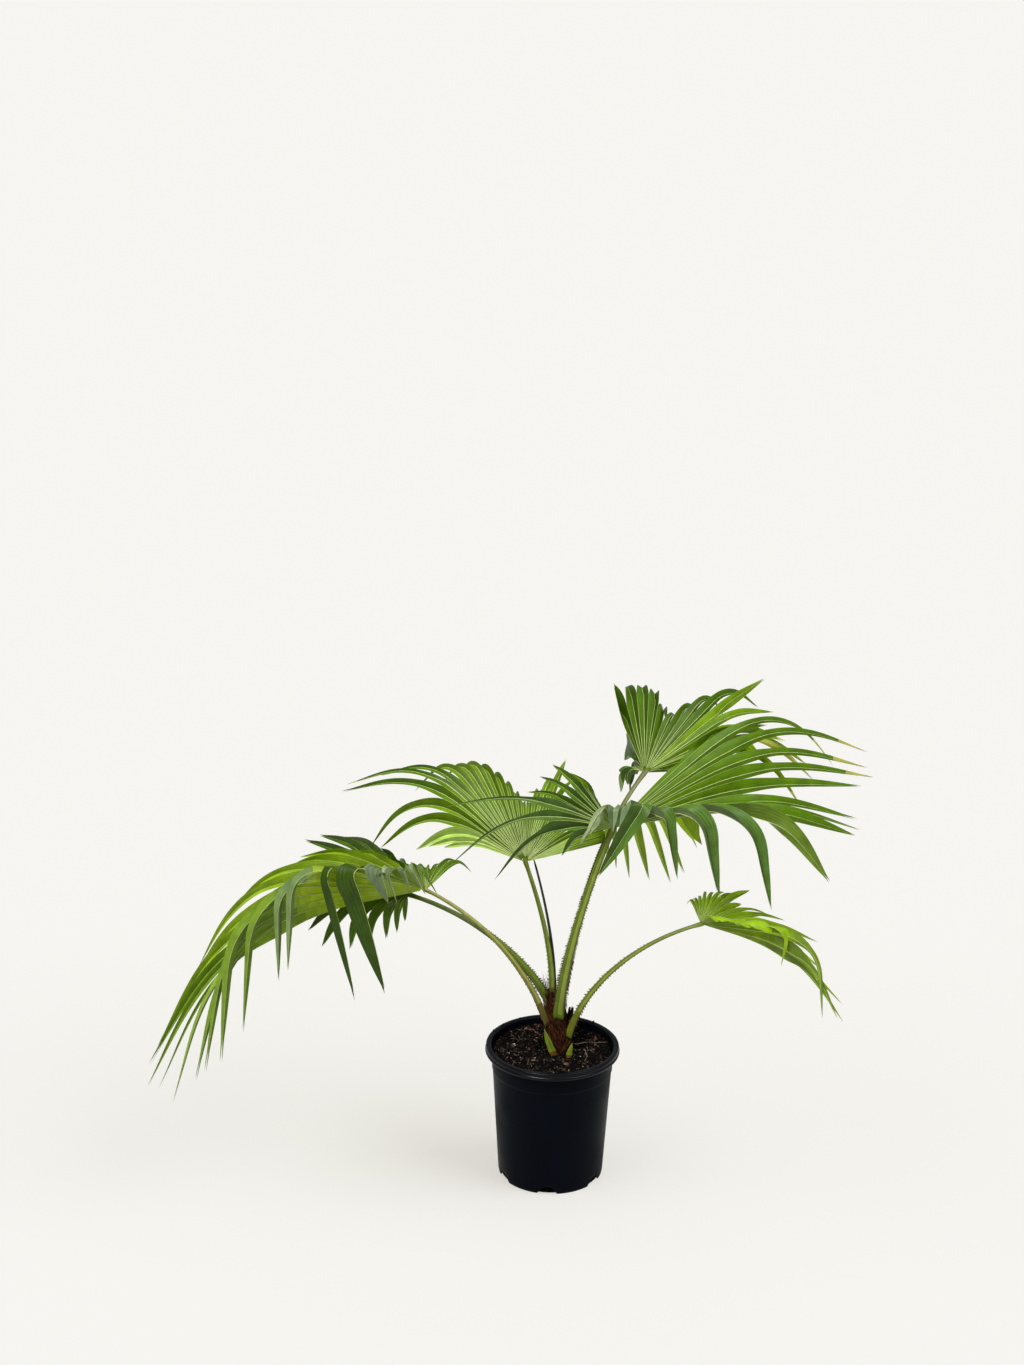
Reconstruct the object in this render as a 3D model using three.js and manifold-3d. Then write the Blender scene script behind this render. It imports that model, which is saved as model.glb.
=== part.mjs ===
// A young Chinese fan palm in a round black nursery pot.
// Units are millimetres, +Z is up, and the origin is the middle of the pot's flat underside.
// The front of the plant faces -Y, and +X is to its right.
//
// Each frond is a fan of pleated segments that spread from one hub at the tip of its leaf stalk.
// A segment follows a ray: it leaves the hub at a turn round the hub, and bends down under its own weight.

import * as THREE from "three";
import { mergeVertices } from "three/addons/utils/BufferGeometryUtils.js";
import Module from "manifold-3d";

const wasm = await Module();
wasm.setup();

// ---------------------------------------------------------------- driving dimensions

const GAP = 0.3; // clearance between solids that touch on the real plant
const SLIVER = 0.02; // slivers thinner than this, left by joins and cuts, are merged away
const DEGREE = Math.PI / 180;

const POT = {
  height: 211, // to the top of the rolled rim
  foot: 79, // outer radius at the ground
  shoulder: 89.4, // outer radius at the stacking shoulder
  shoulderHeight: 172,
  neck: 91, // outer radius under the rim
  step: 1.6, // rise of the sloping step from the shoulder to the neck
  rim: 101, // outer radius of the rim
  rimHeight: 11.5,
  rimRound: 3, // rounding of the rim's edges
  lip: 2.8, // how much the mouth opens out inside the rim
  lipHeight: 2.5, // how far the edge of that opening lies below the top of the rim
  wall: 2,
  sides: 40,
  disc: 46, // radius of the flat middle of the underside
  channel: 13, // height of the drain channel round that disc
  slope: 4, // run of the channel's inner wall
  ring: 3, // width of the foot ring outside the channel
  footEase: 1, // easing of the foot's outer edge
};
const DRAIN = { count: 6, first: -4, top: 12, bottom: 31, height: 12.4, depth: 9, out: 3 };

// The potting mix: flat round the trunk to the seat's radius, and a little lower at the wall.
const SOIL = { level: 204, seat: 46, ease: 0.55, easeDrop: 0.6, edgeDrop: 2, play: 0.6 };

const TRUNK = {
  foot: [15, -6],
  top: [-2, 5],
  height: 89,
  radii: [14.5, 15, 15.5, 15.8, 15.2, 14.2, 12.5], // from the ground to the crown
  sides: 14,
  lobes: 3, // where old leaf bases swell it
  lobeSize: 0.05,
  lobeShift: 2, // radians that the lobes turn by from ring to ring
};

const BLADE = {
  rows: 2, // rows of facets from the hub to where the segments part
  freeRows: 4, // rows from there to the tip of a long segment
  shortRows: 3, // and of a short one
  short: 190, // length of the longest short segment
  thickness: 0.01, // share of a segment's own length
  thinnest: 1.3,
  tipThinning: 0.6, // share of its thickness that a segment loses towards its tip
  pleat: 0.2, // depth of a segment's fold as a share of its width
  uneven: 0.1, // how much neighbouring segments differ in length
  open: 1.3, // how much a segment opens out once it is free of its neighbours
  narrowing: 0.3, // share of the free part over which a segment takes its own breadth
  narrowing: 0.3, // share of the free part over which a segment takes its own breadth
  narrowing: 0.3, // share of the free part over which a segment takes its own breadth
  narrowing: 0.3, // share of the free part over which a segment takes its own breadth
  narrowing: 0.3, // share of the free part over which a segment takes its own breadth
  narrowing: 0.3, // share of the free part over which a segment takes its own breadth
  narrowing: 0.3, // share of the free part over which a segment takes its own breadth
  narrowing: 0.3, // share of the free part over which a segment takes its own breadth
  narrowing: 0.3, // share of the free part over which a segment takes its own breadth
  narrowing: 0.3, // share of the free part over which a segment takes its own breadth
  narrowing: 0.3, // share of the free part over which a segment takes its own breadth
  narrowing: 0.3, // share of the free part over which a segment takes its own breadth
  narrowing: 0.3, // share of the free part over which a segment takes its own breadth
  narrowing: 0.3, // share of the free part over which a segment takes its own breadth
  narrowing: 0.3, // share of the free part over which a segment takes its own breadth
  narrowing: 0.3, // share of the free part over which a segment takes its own breadth
  facing: 0.75, // share of the way that a free segment turns its face to the light
  facingBy: 0.45, // share of the free part over which it turns
};
const RAY_STEPS = 40;
const LIGHT = [0, -0.9, 0.42]; // the plant has grown towards light from the front

// A stalk ends back from the hub, and the knob on the fan reaches on from there under the blade.
// Close is the share of the stalk from which the fan could touch it.
const HUB = { back: 6, front: 7, swell: 1.25, point: 0.5, close: 0.6 };
const LIMB = { steps: 12, sides: 8, flat: 0.35, taper: 1.5 }; // flat is the share cut from its upper half

// Leaf stalks: a curve from inside the trunk to the hub, given by its two ends and two handles.
const STALKS = {
  left_front: {
    path: [[-8, -8, 246], [-44, -21, 361], [-120, -4, 425], [-190, 0, 459]],
    radii: [4.8, 2.7],
  },
  left_rear: {
    path: [[-4, 0, 276], [-42, -4, 356], [-120, 4, 420], [-218, 18, 444]],
    radii: [6.4, 3.3],
  },
  centre: { path: [[-3, 5, 280], [2, 14, 345], [-21, 38, 420], [-44, 60, 480]], radii: [4.6, 3] },
  right_front: {
    path: [[7.6, -12, 259], [13, -34, 362], [45, -34, 478], [81, -30, 573]],
    radii: [7.8, 4.7],
  },
  right_rear: {
    path: [[11, 9, 272], [28, 26, 374], [56, 60, 520], [133, 120, 602]],
    radii: [5.2, 3.2],
  },
  right_low: {
    path: [[23, -13, 228], [40, -22, 314], [118, -16, 388], [215, -10, 414]],
    radii: [5.2, 2.8],
  },
};

// Fronds: hub comes from the stalk's tip. aim is the heading and pitch of the middle ray, in degrees.
// far and near count the segments on each side, and fan gives the turn of the outermost edges.
// crowd above 1 packs the segments of a side more tightly towards the middle ray.
// Each guide row is [turn, reach, web, fold, droop, start, end, sway, breadth]: the segment's length, the
// share of it that is joined to its neighbours, the rise of that side of the fan, how far it falls towards
// straight down, where along it the fall starts and ends, the slant of the fall, and its breadth once free.
// bend is the turn where a fan folds over, so that its falling side is a solid of its own.
const FRONDS = {
  left_front: {
    aim: [188, -8], fan: [-140, 86], count: [17, 15], crowd: [1.35, 1.35], seed: 1, bend: 21,
    guides: [
      [-140, 132, 0.5, 25, 0.7, 0.3, 0.9, 0, 0.6],
      [-126, 118, 0.5, 28, 0.5, 0.3, 0.9, 0, 0.6],
      [-112, 66, 0.5, 30, 0.4, 0.3, 0.9, 0, 0.7],
      [-70, 80, 0.5, 28, 0.3, 0.3, 0.9, 0, 0.8],
      [-45, 250, 0.5, 30, 0.36, 0.25, 0.9, 0, 0.7],
      [-31, 378, 0.48, 29, 0.65, 0.25, 0.95, 0, 0.55],
      [-23, 430, 0.46, 28, 0.72, 0.22, 0.95, 0, 0.55],
      [-12, 495, 0.45, 28, 0.7, 0.12, 0.9, 0, 0.6],
      [-5, 556, 0.45, 14, 0.67, 0.1, 0.9, 0, 0.8],
      [0, 560, 0.45, 0, 0.7, 0.1, 0.9, 0, 0.85],
      [2, 555, 0.45, 35, 0.73, 0.1, 0.9, 0, 0.8],
      [4, 520, 0.42, 48, 0.82, 0.12, 0.86, 0, 0.75],
      [8, 502, 0.42, 53, 0.86, 0.18, 0.84, 0, 0.7],
      [12, 492, 0.42, 56, 0.9, 0.22, 0.81, 0, 0.7],
      [17, 490, 0.42, 58, 0.96, 0.28, 0.75, 2, 0.75],
      [22, 496, 0.42, 60, 0.98, 0.32, 0.73, 3, 0.8],
      [28, 356, 0.48, 60, 1, 0.42, 0.72, 0, 0.8],
      [34, 345, 0.5, 60, 1, 0.45, 0.7, 2, 0.8],
      [40, 402, 0.43, 60, 1, 0.36, 0.54, -13, 1],
      [46, 368, 0.42, 60, 1, 0.33, 0.5, -17, 1],
      [52, 165, 0.6, 60, 1, 0.5, 0.72, -24, 0.6],
      [60, 145, 0.6, 60, 1, 0.52, 0.75, -18, 0.55],
      [67, 118, 0.66, 60, 1, 0.52, 0.75, -20, 0.55],
      [75, 146, 0.56, 58, 1, 0.5, 0.75, -28, 0.6],
      [86, 150, 0.5, 56, 1, 0.42, 0.75, -28, 0.6],
    ],
  },
  left_rear: {
    aim: [165, 0], fan: [-110, 110], count: [13, 7], crowd: [1.1, 1.1], seed: 2,
    guides: [
      [-110, 100, 0.5, 25, 0.5, 0.2, 0.9, 0, 0.8],
      [-78, 120, 0.5, 16, 0.4, 0.3, 0.9, 0, 0.8],
      [-62, 150, 0.5, 16, 0.3, 0.25, 0.9, 0, 0.8],
      [-52, 285, 0.5, 15, 0.3, 0.2, 0.9, 0, 0.8],
      [-34, 254, 0.5, 20, 0.2, 0.2, 0.9, 0, 0.8],
      [-24, 205, 0.5, 18, 0.25, 0.2, 0.9, 0, 0.8],
      [-8, 195, 0.5, 0, 0.4, 0.1, 0.9, 0, 0.8],
      [10, 183, 0.5, 0, 0.6, 0.1, 0.9, 0, 0.8],
      [35, 135, 0.5, 0, 0.9, 0.1, 0.9, 0, 0.8],
      [66, 92, 0.5, 0, 1, 0.1, 0.8, 0, 0.8],
      [110, 42, 0.5, 0, 1, 0.1, 0.8, 0, 0.8],
    ],
  },
  centre: {
    aim: [90, 45], fan: [-76, 74], count: [14, 16], crowd: [1, 1], seed: 3,
    guides: [
      [-76, 138, 0.85, 4, 0, 0.3, 0.9, 0, 1],
      [-60, 142, 0.8, 3, 0.1, 0.4, 0.9, 0, 1],
      [-50, 126, 0.55, 0, 0.4, 0.4, 0.9, 0, 0.75],
      [-32, 140, 0.55, 0, 0.4, 0.5, 0.9, 0, 0.75],
      [-19, 192, 0.65, 0, 0.05, 0.6, 1, 0, 1],
      [-12, 208, 0.6, 0, 0.7, 0.5, 0.8, 0, 0.9],
      [0, 190, 0.45, 0, 0.9, 0.35, 0.8, 0, 0.9],
      [15, 240, 0.55, 0, 0.9, 0.5, 0.8, 0, 0.9],
      [24, 292, 0.58, 0, 0.85, 0.54, 0.85, 0, 0.9],
      [34, 292, 0.56, 4, 0.7, 0.5, 0.85, 0, 0.8],
      [40, 318, 0.5, 8, 0.48, 0.3, 0.9, 0, 0.6],
      [44, 385, 0.45, 10, 0.5, 0.25, 0.9, 0, 0.6],
      [49, 362, 0.45, 10, 0.46, 0.22, 0.9, 0, 0.65],
      [54, 325, 0.45, 7, 0.8, 0.25, 0.95, 0, 0.7],
      [58, 246, 0.5, 9, 0.62, 0.25, 0.9, 0, 0.75],
      [63, 192, 0.6, 9, 0.55, 0.25, 0.9, 0, 0.95],
      [67, 150, 0.7, 8, 0.4, 0.3, 0.9, 0, 1],
      [74, 120, 0.8, 8, 0.3, 0.4, 1, 0, 1],
    ],
  },
  right_front: {
    aim: [6, 12], fan: [-170, 172], count: [14, 24], crowd: [1.15, 1.3], seed: 4, bend: -12,
    guides: [
      [-170, 60, 0.5, 50, 0.6, 0.3, 0.8, 0, 0.8],
      [-110, 62, 0.6, 55, 0.7, 0.4, 0.8, 0, 0.8],
      [-96, 125, 0.5, 60, 1, 0.4, 0.7, -25, 0.6],
      [-83, 98, 0.6, 62, 1, 0.45, 0.75, 0, 1],
      [-70, 104, 0.6, 60, 1, 0.45, 0.75, -12, 1],
      [-64, 150, 0.5, 55, 1, 0.4, 0.7, -30, 1],
      [-58, 240, 0.4, 50, 1, 0.3, 0.55, -30, 0.8],
      [-46, 208, 0.45, 42, 1, 0.3, 0.6, 8, 0.85],
      [-35, 276, 0.45, 36, 1, 0.3, 0.7, 8, 0.95],
      [-24, 346, 0.45, 33, 0.97, 0.3, 0.78, 6, 0.95],
      [-13, 368, 0.5, 26, 0.68, 0.3, 0.9, 0, 1],
      [-4, 385, 0.5, 4, 0.32, 0.2, 0.9, 0, 0.9],
      [4, 380, 0.5, 0, 0.33, 0.2, 0.9, 0, 0.9],
      [10, 402, 0.5, 32, 0.22, 0.2, 0.9, 0, 0.7],
      [16, 442, 0.48, 38, 0.37, 0.25, 0.9, 0, 0.6],
      [24, 458, 0.46, 37, 0.4, 0.28, 0.9, 0, 0.55],
      [31, 488, 0.45, 34, 0.7, 0.35, 0.98, 0, 0.5],
      [40, 322, 0.55, 30, 0.2, 0.4, 0.9, 0, 0.8],
      [44.5, 215, 0.48, 6, 1, 0.22, 0.7, 22, 0.8],
      [47, 250, 0.45, 0, 1, 0.25, 0.7, 22, 0.8],
      [62, 225, 0.45, -5, 1, 0.2, 0.65, 18, 0.8],
      [76, 150, 0.4, 0, 1, 0.15, 0.6, 6, 0.8],
      [90, 115, 0.4, 0, 1, 0.15, 0.6, 0, 0.8],
      [100, 105, 0.5, 30, 0.6, 0.3, 0.9, 0, 0.7],
      [108, 145, 0.6, 45, 0.1, 0.5, 1, 0, 0.9],
      [130, 140, 0.55, 35, 0.3, 0.5, 1, 0, 0.6],
      [138, 258, 0.35, 42, 0.28, 0.1, 0.9, 0, 0.4],
      [148, 288, 0.33, 42, 0.55, 0.05, 0.9, 0, 0.35],
      [157, 240, 0.35, 40, 0.63, 0.05, 0.9, 0, 0.35],
      [164, 105, 0.45, 35, 0.7, 0.1, 0.9, 0, 0.6],
      [172, 80, 0.5, 35, 0.7, 0.1, 0.9, 0, 0.8],
    ],
  },
  right_rear: {
    aim: [60, 35], fan: [-68, 100], count: [10, 14], crowd: [1, 1], seed: 5,
    guides: [
      [-68, 60, 0.5, 10, 0.5, 0.2, 0.8, 0, 0.8],
      [-62, 150, 0.5, 8, 0.5, 0.3, 0.9, 0, 0.5],
      [-57, 350, 0.45, 8, 0.75, 0.3, 0.9, 0, 0.35],
      [-51, 300, 0.5, 5, 0.6, 0.3, 0.9, 0, 0.5],
      [-41, 262, 0.5, -11, 0.5, 0.35, 0.9, 0, 0.6],
      [-31, 240, 0.55, 0, 0.35, 0.5, 0.9, 0, 0.8],
      [-24, 250, 0.6, -7, 0.05, 0.4, 0.9, 0, 1],
      [-17, 262, 0.5, 0, 0.6, 0.5, 0.9, 0, 0.75],
      [-8, 240, 0.5, 0, 0.75, 0.5, 0.85, 0, 0.75],
      [4, 165, 0.5, 0, 0.8, 0.45, 0.85, 0, 0.75],
      [14, 176, 0.72, 0, 0.8, 0.7, 0.95, 0, 0.9],
      [24, 208, 0.74, 0, 0.8, 0.74, 1, 0, 0.9],
      [32, 217, 0.72, 0, 0.5, 0.76, 1, 0, 0.9],
      [40, 194, 0.6, 0, 0, 0.6, 1, 0, 1],
      [47, 95, 0.6, -15, 0.8, 0.3, 0.9, 0, 0.9],
      [54, 50, 0.6, -20, 0.8, 0.3, 0.9, 0, 0.9],
      [61, 108, 0.5, -25, 1, 0.2, 0.8, 0, 1],
      [68, 50, 0.6, -20, 1, 0.2, 0.8, 0, 0.9],
      [75, 48, 0.6, -10, 1, 0.2, 0.8, 0, 0.9],
      [82, 88, 0.6, 10, 1, 0.2, 0.8, 0, 1],
      [89, 48, 0.6, 20, 1, 0.2, 0.8, 0, 0.9],
      [100, 45, 0.6, 30, 1, 0.2, 0.8, 0, 0.9],
    ],
  },
  right_low: {
    aim: [-3, -13], fan: [-80, 125], count: [11, 14], crowd: [1, 1], seed: 6,
    guides: [
      [-80, 40, 0.85, 60, 0.5, 0.4, 0.9, 0, 1],
      [-45, 70, 0.85, 60, 0.4, 0.4, 0.9, 0, 1],
      [-33, 110, 0.8, 60, 0.5, 0.5, 0.9, 0, 0.8],
      [-25, 192, 0.6, 60, 1, 0.5, 0.85, -14, 0.4],
      [-18, 284, 0.48, 56, 0.9, 0.33, 0.82, -4, 0.36],
      [-11, 272, 0.5, 44, 0.7, 0.2, 0.88, 0, 0.36],
      [-4, 268, 0.5, 20, 0.58, 0.1, 0.9, 0, 0.36],
      [4, 258, 0.5, 12, 0.46, 0.05, 0.9, 0, 0.38],
      [13, 206, 0.5, 25, 0.44, 0.12, 0.9, 0, 0.38],
      [22, 200, 0.5, 30, 0.33, 0.2, 0.9, 0, 0.5],
      [31, 140, 0.5, 32, 0.3, 0.3, 0.9, 0, 0.5],
      [40, 136, 0.5, 34, 0.42, 0.3, 0.9, 0, 0.4],
      [49, 70, 0.7, 38, 0.25, 0.3, 0.9, 0, 0.8],
      [58, 112, 0.6, 42, 0.25, 0.4, 0.9, 0, 1],
      [67, 85, 0.6, 45, 0.4, 0.4, 0.9, 0, 0.8],
      [95, 62, 0.6, 45, 0.6, 0.6, 1, 0, 0.8],
      [125, 55, 0.6, 50, 0.8, 0.5, 0.9, 0, 0.8],
    ],
  },
};

// The unopened spear leaf, the stubs of two cut leaves and the tuft of fibre at the crown.
const SPEAR = { path: [[2, 12, 280], [2.5, 22, 350], [-10, 52, 410], [-34, 84, 484]], radii: [3, 1.5] };
const STUBS = {
  leaf_base_left: {
    path: [[5, -21, 199], [-1, -23, 212], [-8, -22, 228], [-13, -16, 243]],
    radii: [5.8, 3.6],
  },
  leaf_base_right: {
    path: [[24, -28, 202], [24, -28, 211], [27, -28, 218], [29, -25, 226]],
    radii: [5.5, 2],
  },
  fibre_tuft: { path: [[20, 2, 236], [24, 2, 246], [27, 1, 256], [27, 0, 270]], radii: [8.5, 7] },
};

// ---------------------------------------------------------------- small tools

const vector = (point) => new THREE.Vector3(...point);
const mix = (a, b, share) => a + (b - a) * share;
const smooth = (share) => {
  const x = Math.min(Math.max(share, 0), 1);
  return x * x * (3 - 2 * x);
};

// A repeatable number from 0 to 1 for the i-th segment of a frond.
function scatter(i, seed) {
  const wave = Math.sin(i * 12.9898 + seed * 78.233) * 43758.5453;
  return wave - Math.floor(wave);
}

function geometryOf(points, triangles) {
  const geometry = new THREE.BufferGeometry();
  geometry.setAttribute("position", new THREE.Float32BufferAttribute(points.flatMap((p) => p.toArray()), 3));
  geometry.setIndex(triangles);
  return geometry;
}

// A closed three.js geometry as a manifold-3d solid, with its faces turned outwards.
function solidOf(geometry) {
  const bare = geometry.clone();
  bare.deleteAttribute("normal");
  bare.deleteAttribute("uv");
  const merged = mergeVertices(bare, 1e-3);
  const vertProperties = merged.attributes.position.array;
  const build = (triVerts) => new wasm.Manifold(new wasm.Mesh({ numProp: 3, vertProperties, triVerts }));
  const triangles = new Uint32Array(merged.index.array);
  const solid = build(triangles);
  return solid.volume() > 0 ? solid : build(triangles.reverse());
}

const curveOf = ({ path }) => new THREE.CubicBezierCurve3(...path.map(vector));
const largest = (solid) => solid.decompose().reduce((a, b) => (a.volume() > b.volume() ? a : b));

function geometryOfSolid(solid) {
  const mesh = solid.simplify(SLIVER).getMesh();
  const geometry = new THREE.BufferGeometry();
  geometry.setAttribute("position", new THREE.Float32BufferAttribute(mesh.vertProperties, 3));
  geometry.setIndex(new THREE.BufferAttribute(mesh.triVerts, 1));
  return geometry;
}

// A closed tube through rings of points, with a flat end at each side.
function loft(rings) {
  const around = rings[0].length;
  const points = rings.flat();
  const triangles = [];
  for (let r = 0; r < rings.length - 1; r++)
    for (let i = 0; i < around; i++) {
      const a = r * around + i;
      const b = r * around + ((i + 1) % around);
      triangles.push(a, b, b + around, a, b + around, a + around);
    }
  const last = (rings.length - 1) * around;
  for (let i = 1; i < around - 1; i++) {
    triangles.push(0, i + 1, i);
    triangles.push(last, last + i, last + i + 1);
  }
  return geometryOf(points, triangles);
}

// A tapering limb along a curve. Its section is flat above and round below, as a leaf stalk's is.
function limb(stalk, { steps = LIMB.steps, sides = LIMB.sides, grow = 0, from = 0, to = 1 } = {}) {
  const curve = curveOf(stalk);
  const [thick, thin] = stalk.radii;
  const rings = [];
  for (let i = 0; i <= steps; i++) {
    const t = mix(from, to, i / steps);
    const centre = curve.getPoint(t);
    const along = curve.getTangent(t);
    const side = new THREE.Vector3(-along.y, along.x, 0).normalize();
    const up = new THREE.Vector3().crossVectors(along, side);
    const radius = mix(thin, thick, (1 - t) ** LIMB.taper) + grow;
    rings.push(
      Array.from({ length: sides }, (_, k) => {
        const angle = (2 * Math.PI * (k + 0.5)) / sides;
        const reach = side.clone().multiplyScalar(Math.cos(angle) * radius);
        const height = Math.sin(angle) * (Math.sin(angle) > 0 ? 1 - LIMB.flat : 1);
        return centre.clone().add(reach).addScaledVector(up, height * radius);
      }),
    );
  }
  return solidOf(loft(rings));
}

// ---------------------------------------------------------------- pot and soil

const outerRadius = (z) => mix(POT.foot, POT.shoulder, z / POT.shoulderHeight);

function potSolid() {
  const rimFoot = POT.height - POT.rimHeight;
  const neckInside = POT.neck - POT.wall;
  const floorTop = POT.channel + POT.wall;
  const foot = POT.foot - POT.footEase;
  const profile = [
    [0, 0],
    [POT.disc, 0],
    [POT.disc + POT.slope, POT.channel],
    [foot - POT.ring, POT.channel],
    [foot - POT.wall, 0],
    [foot, 0],
    [POT.foot, POT.footEase],
    [POT.shoulder, POT.shoulderHeight],
    [POT.neck, POT.shoulderHeight + POT.step],
    [POT.neck, rimFoot],
    [POT.rim - POT.rimRound, rimFoot],
    [POT.rim, rimFoot + POT.rimRound],
    [POT.rim, POT.height - POT.rimRound],
    [POT.rim - POT.rimRound, POT.height],
    [neckInside + POT.lip, POT.height - POT.lipHeight],
    [neckInside, rimFoot],
    [POT.shoulder - POT.wall, POT.shoulderHeight],
    [outerRadius(floorTop) - POT.wall, floorTop],
    [POT.disc + POT.slope / 2, floorTop],
    [POT.disc - POT.slope / 2, POT.wall],
    [0, POT.wall],
  ].map(([r, z]) => new THREE.Vector2(r, z));
  const lathe = new THREE.LatheGeometry(profile, POT.sides).rotateX(Math.PI / 2);
  let solid = solidOf(lathe);
  for (let i = 0; i < DRAIN.count; i++)
    solid = solid.subtract(drainNotch(DRAIN.first + (360 / DRAIN.count) * i));
  return solid;
}

// One drain notch: a trapezium, wider at the ground, cut through the foot ring. Turn 0 is the front.
function drainNotch(turn) {
  const shape = new THREE.Shape([
    new THREE.Vector2(-DRAIN.bottom / 2, -DRAIN.out),
    new THREE.Vector2(DRAIN.bottom / 2, -DRAIN.out),
    new THREE.Vector2(DRAIN.top / 2, DRAIN.height),
    new THREE.Vector2(-DRAIN.top / 2, DRAIN.height),
  ]);
  const notch = new THREE.ExtrudeGeometry(shape, { depth: DRAIN.depth, bevelEnabled: false });
  notch.rotateX(Math.PI / 2).translate(0, DRAIN.depth - DRAIN.out - POT.foot, 0).rotateZ(turn * DEGREE);
  return solidOf(notch);
}

// The potting mix fills the pot from its floor, and stays clear of its faceted wall by a little play.
function soilSolid() {
  const floor = POT.channel + POT.wall + GAP;
  const inside = (radius) => radius - POT.wall - GAP - SOIL.play;
  const plug = POT.disc - 2 * GAP;
  const profile = [
    [0, POT.wall + GAP],
    [plug - POT.slope / 2, POT.wall + GAP],
    [plug + POT.slope / 2, floor],
    [inside(outerRadius(floor)), floor],
    [inside(POT.shoulder), POT.shoulderHeight],
    [inside(POT.neck), SOIL.level - SOIL.edgeDrop],
    [mix(SOIL.seat, POT.neck, SOIL.ease), SOIL.level - SOIL.easeDrop],
    [SOIL.seat, SOIL.level],
    [0, SOIL.level],
  ].map(([r, z]) => new THREE.Vector2(r, z));
  return solidOf(new THREE.LatheGeometry(profile, POT.sides).rotateX(Math.PI / 2));
}

// ---------------------------------------------------------------- trunk

function trunkSolid(grow = 0) {
  const { foot, top, height, radii, sides, lobes, lobeSize, lobeShift } = TRUNK;
  const base = SOIL.level + GAP;
  const rings = radii.map((radius, i) => {
    const share = i / (radii.length - 1);
    const [x, y] = [0, 1].map((axis) => mix(foot[axis], top[axis], share));
    const z = base + height * share + (i === radii.length - 1 ? grow : 0) - (i === 0 ? grow : 0);
    return Array.from({ length: sides }, (_, k) => {
      const angle = (2 * Math.PI * k) / sides;
      const lobe = 1 + lobeSize * Math.sin(lobes * angle + lobeShift * i);
      const reach = radius * lobe + grow;
      return new THREE.Vector3(x + Math.cos(angle) * reach, y + Math.sin(angle) * reach, z);
    });
  });
  return solidOf(loft(rings));
}

// ---------------------------------------------------------------- fronds

// The directions of a frond: ahead along its middle ray, across it, and up from its face.
function bladeAxes([heading, pitch]) {
  const [h, p] = [heading * DEGREE, pitch * DEGREE];
  const ahead = new THREE.Vector3(Math.cos(h) * Math.cos(p), Math.sin(h) * Math.cos(p), Math.sin(p));
  const across = new THREE.Vector3(-Math.sin(h), Math.cos(h), 0);
  const up = new THREE.Vector3().crossVectors(ahead, across);
  const level = new THREE.Vector3(Math.cos(h), Math.sin(h), 0);
  return { ahead, across, up, level };
}

// The guide values at a turn, mixed from the two nearest rows.
function guideAt(guides, turn) {
  let i = guides.findIndex((row) => row[0] >= turn);
  if (i < 0) i = guides.length - 1;
  const [low, high] = [guides[Math.max(i - 1, 0)], guides[i]];
  const share = high[0] === low[0] ? 0 : (turn - low[0]) / (high[0] - low[0]);
  const mixed = high.map((value, k) => mix(low[k], value, share));
  const [, reach, web, fold, droop, start, end, sway, breadth] = mixed;
  return { reach, web, fold, droop, start, end, sway, breadth };
}

function startDirection(axes, turn, fold) {
  const [t, f] = [turn * DEGREE, fold * DEGREE];
  return axes.ahead
    .clone()
    .multiplyScalar(Math.cos(t))
    .addScaledVector(axes.across, Math.sin(t) * Math.cos(f))
    .addScaledVector(axes.up, Math.abs(Math.sin(t)) * Math.sin(f))
    .normalize();
}

// One ray of a fan: its place, its direction and its face's direction at any share of its length.
function makeRay(hub, axes, turn, guide, reach = guide.reach) {
  const start = startDirection(axes, turn, guide.fold);
  const sway = guide.sway * DEGREE;
  const pull = new THREE.Vector3(0, 0, -Math.cos(sway)).addScaledVector(axes.level, Math.sin(sway));
  const hinge = new THREE.Vector3().crossVectors(start, pull).normalize();
  const whole = start.angleTo(pull) * guide.droop;
  const bend = (t) => whole * smooth((t - guide.start) / (guide.end - guide.start));
  const turned = (direction, t) => direction.clone().applyAxisAngle(hinge, bend(t));
  const step = 1 / RAY_STEPS;
  const places = [hub.clone()];
  for (let i = 0; i < RAY_STEPS; i++)
    places.push(places[i].clone().addScaledVector(turned(start, (i + 0.5) * step), reach * step));
  const at = (t) => {
    const cell = Math.min(Math.floor(t / step), RAY_STEPS - 1);
    return places[cell].clone().lerp(places[cell + 1], t / step - cell);
  };
  const before = startDirection(axes, turn - 1, guide.fold);
  const after = startDirection(axes, turn + 1, guide.fold);
  const face = new THREE.Vector3().crossVectors(start, after.sub(before)).normalize();
  const [faceAt, aheadAt] = [face, start].map((direction) => (t) => turned(direction, t));
  return { reach, breadth: guide.breadth, at, bend, hinge, faceAt, aheadAt };
}

// The turns of the lines between segments, from one edge of the fan to the other.
function edgeTurns({ fan, count, crowd }) {
  const edge = (side, k) => fan[side] * (k / count[side]) ** crowd[side];
  const far = Array.from({ length: count[0] }, (_, i) => edge(0, count[0] - i));
  const near = Array.from({ length: count[1] + 1 }, (_, i) => edge(1, i));
  return [...far, ...near];
}

// The turn about a segment's own line that brings its face round to the light.
function turnToLight(side, ahead) {
  const light = vector(LIGHT).normalize();
  const flat = side.clone().addScaledVector(ahead, -side.dot(ahead)).normalize();
  const turn = Math.atan2(-flat.dot(light), new THREE.Vector3().crossVectors(ahead, flat).dot(light));
  if (turn > Math.PI / 2) return turn - Math.PI;
  return turn < -Math.PI / 2 ? turn + Math.PI : turn;
}

const thicknessOf = (reach) => Math.max(BLADE.thinnest, reach * BLADE.thickness);

// The way a sheet looks where it runs ahead and spans from one place to another.
const lookOf = (ahead, left, right) =>
  new THREE.Vector3().crossVectors(ahead, right.at.clone().sub(left.at)).normalize();

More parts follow.
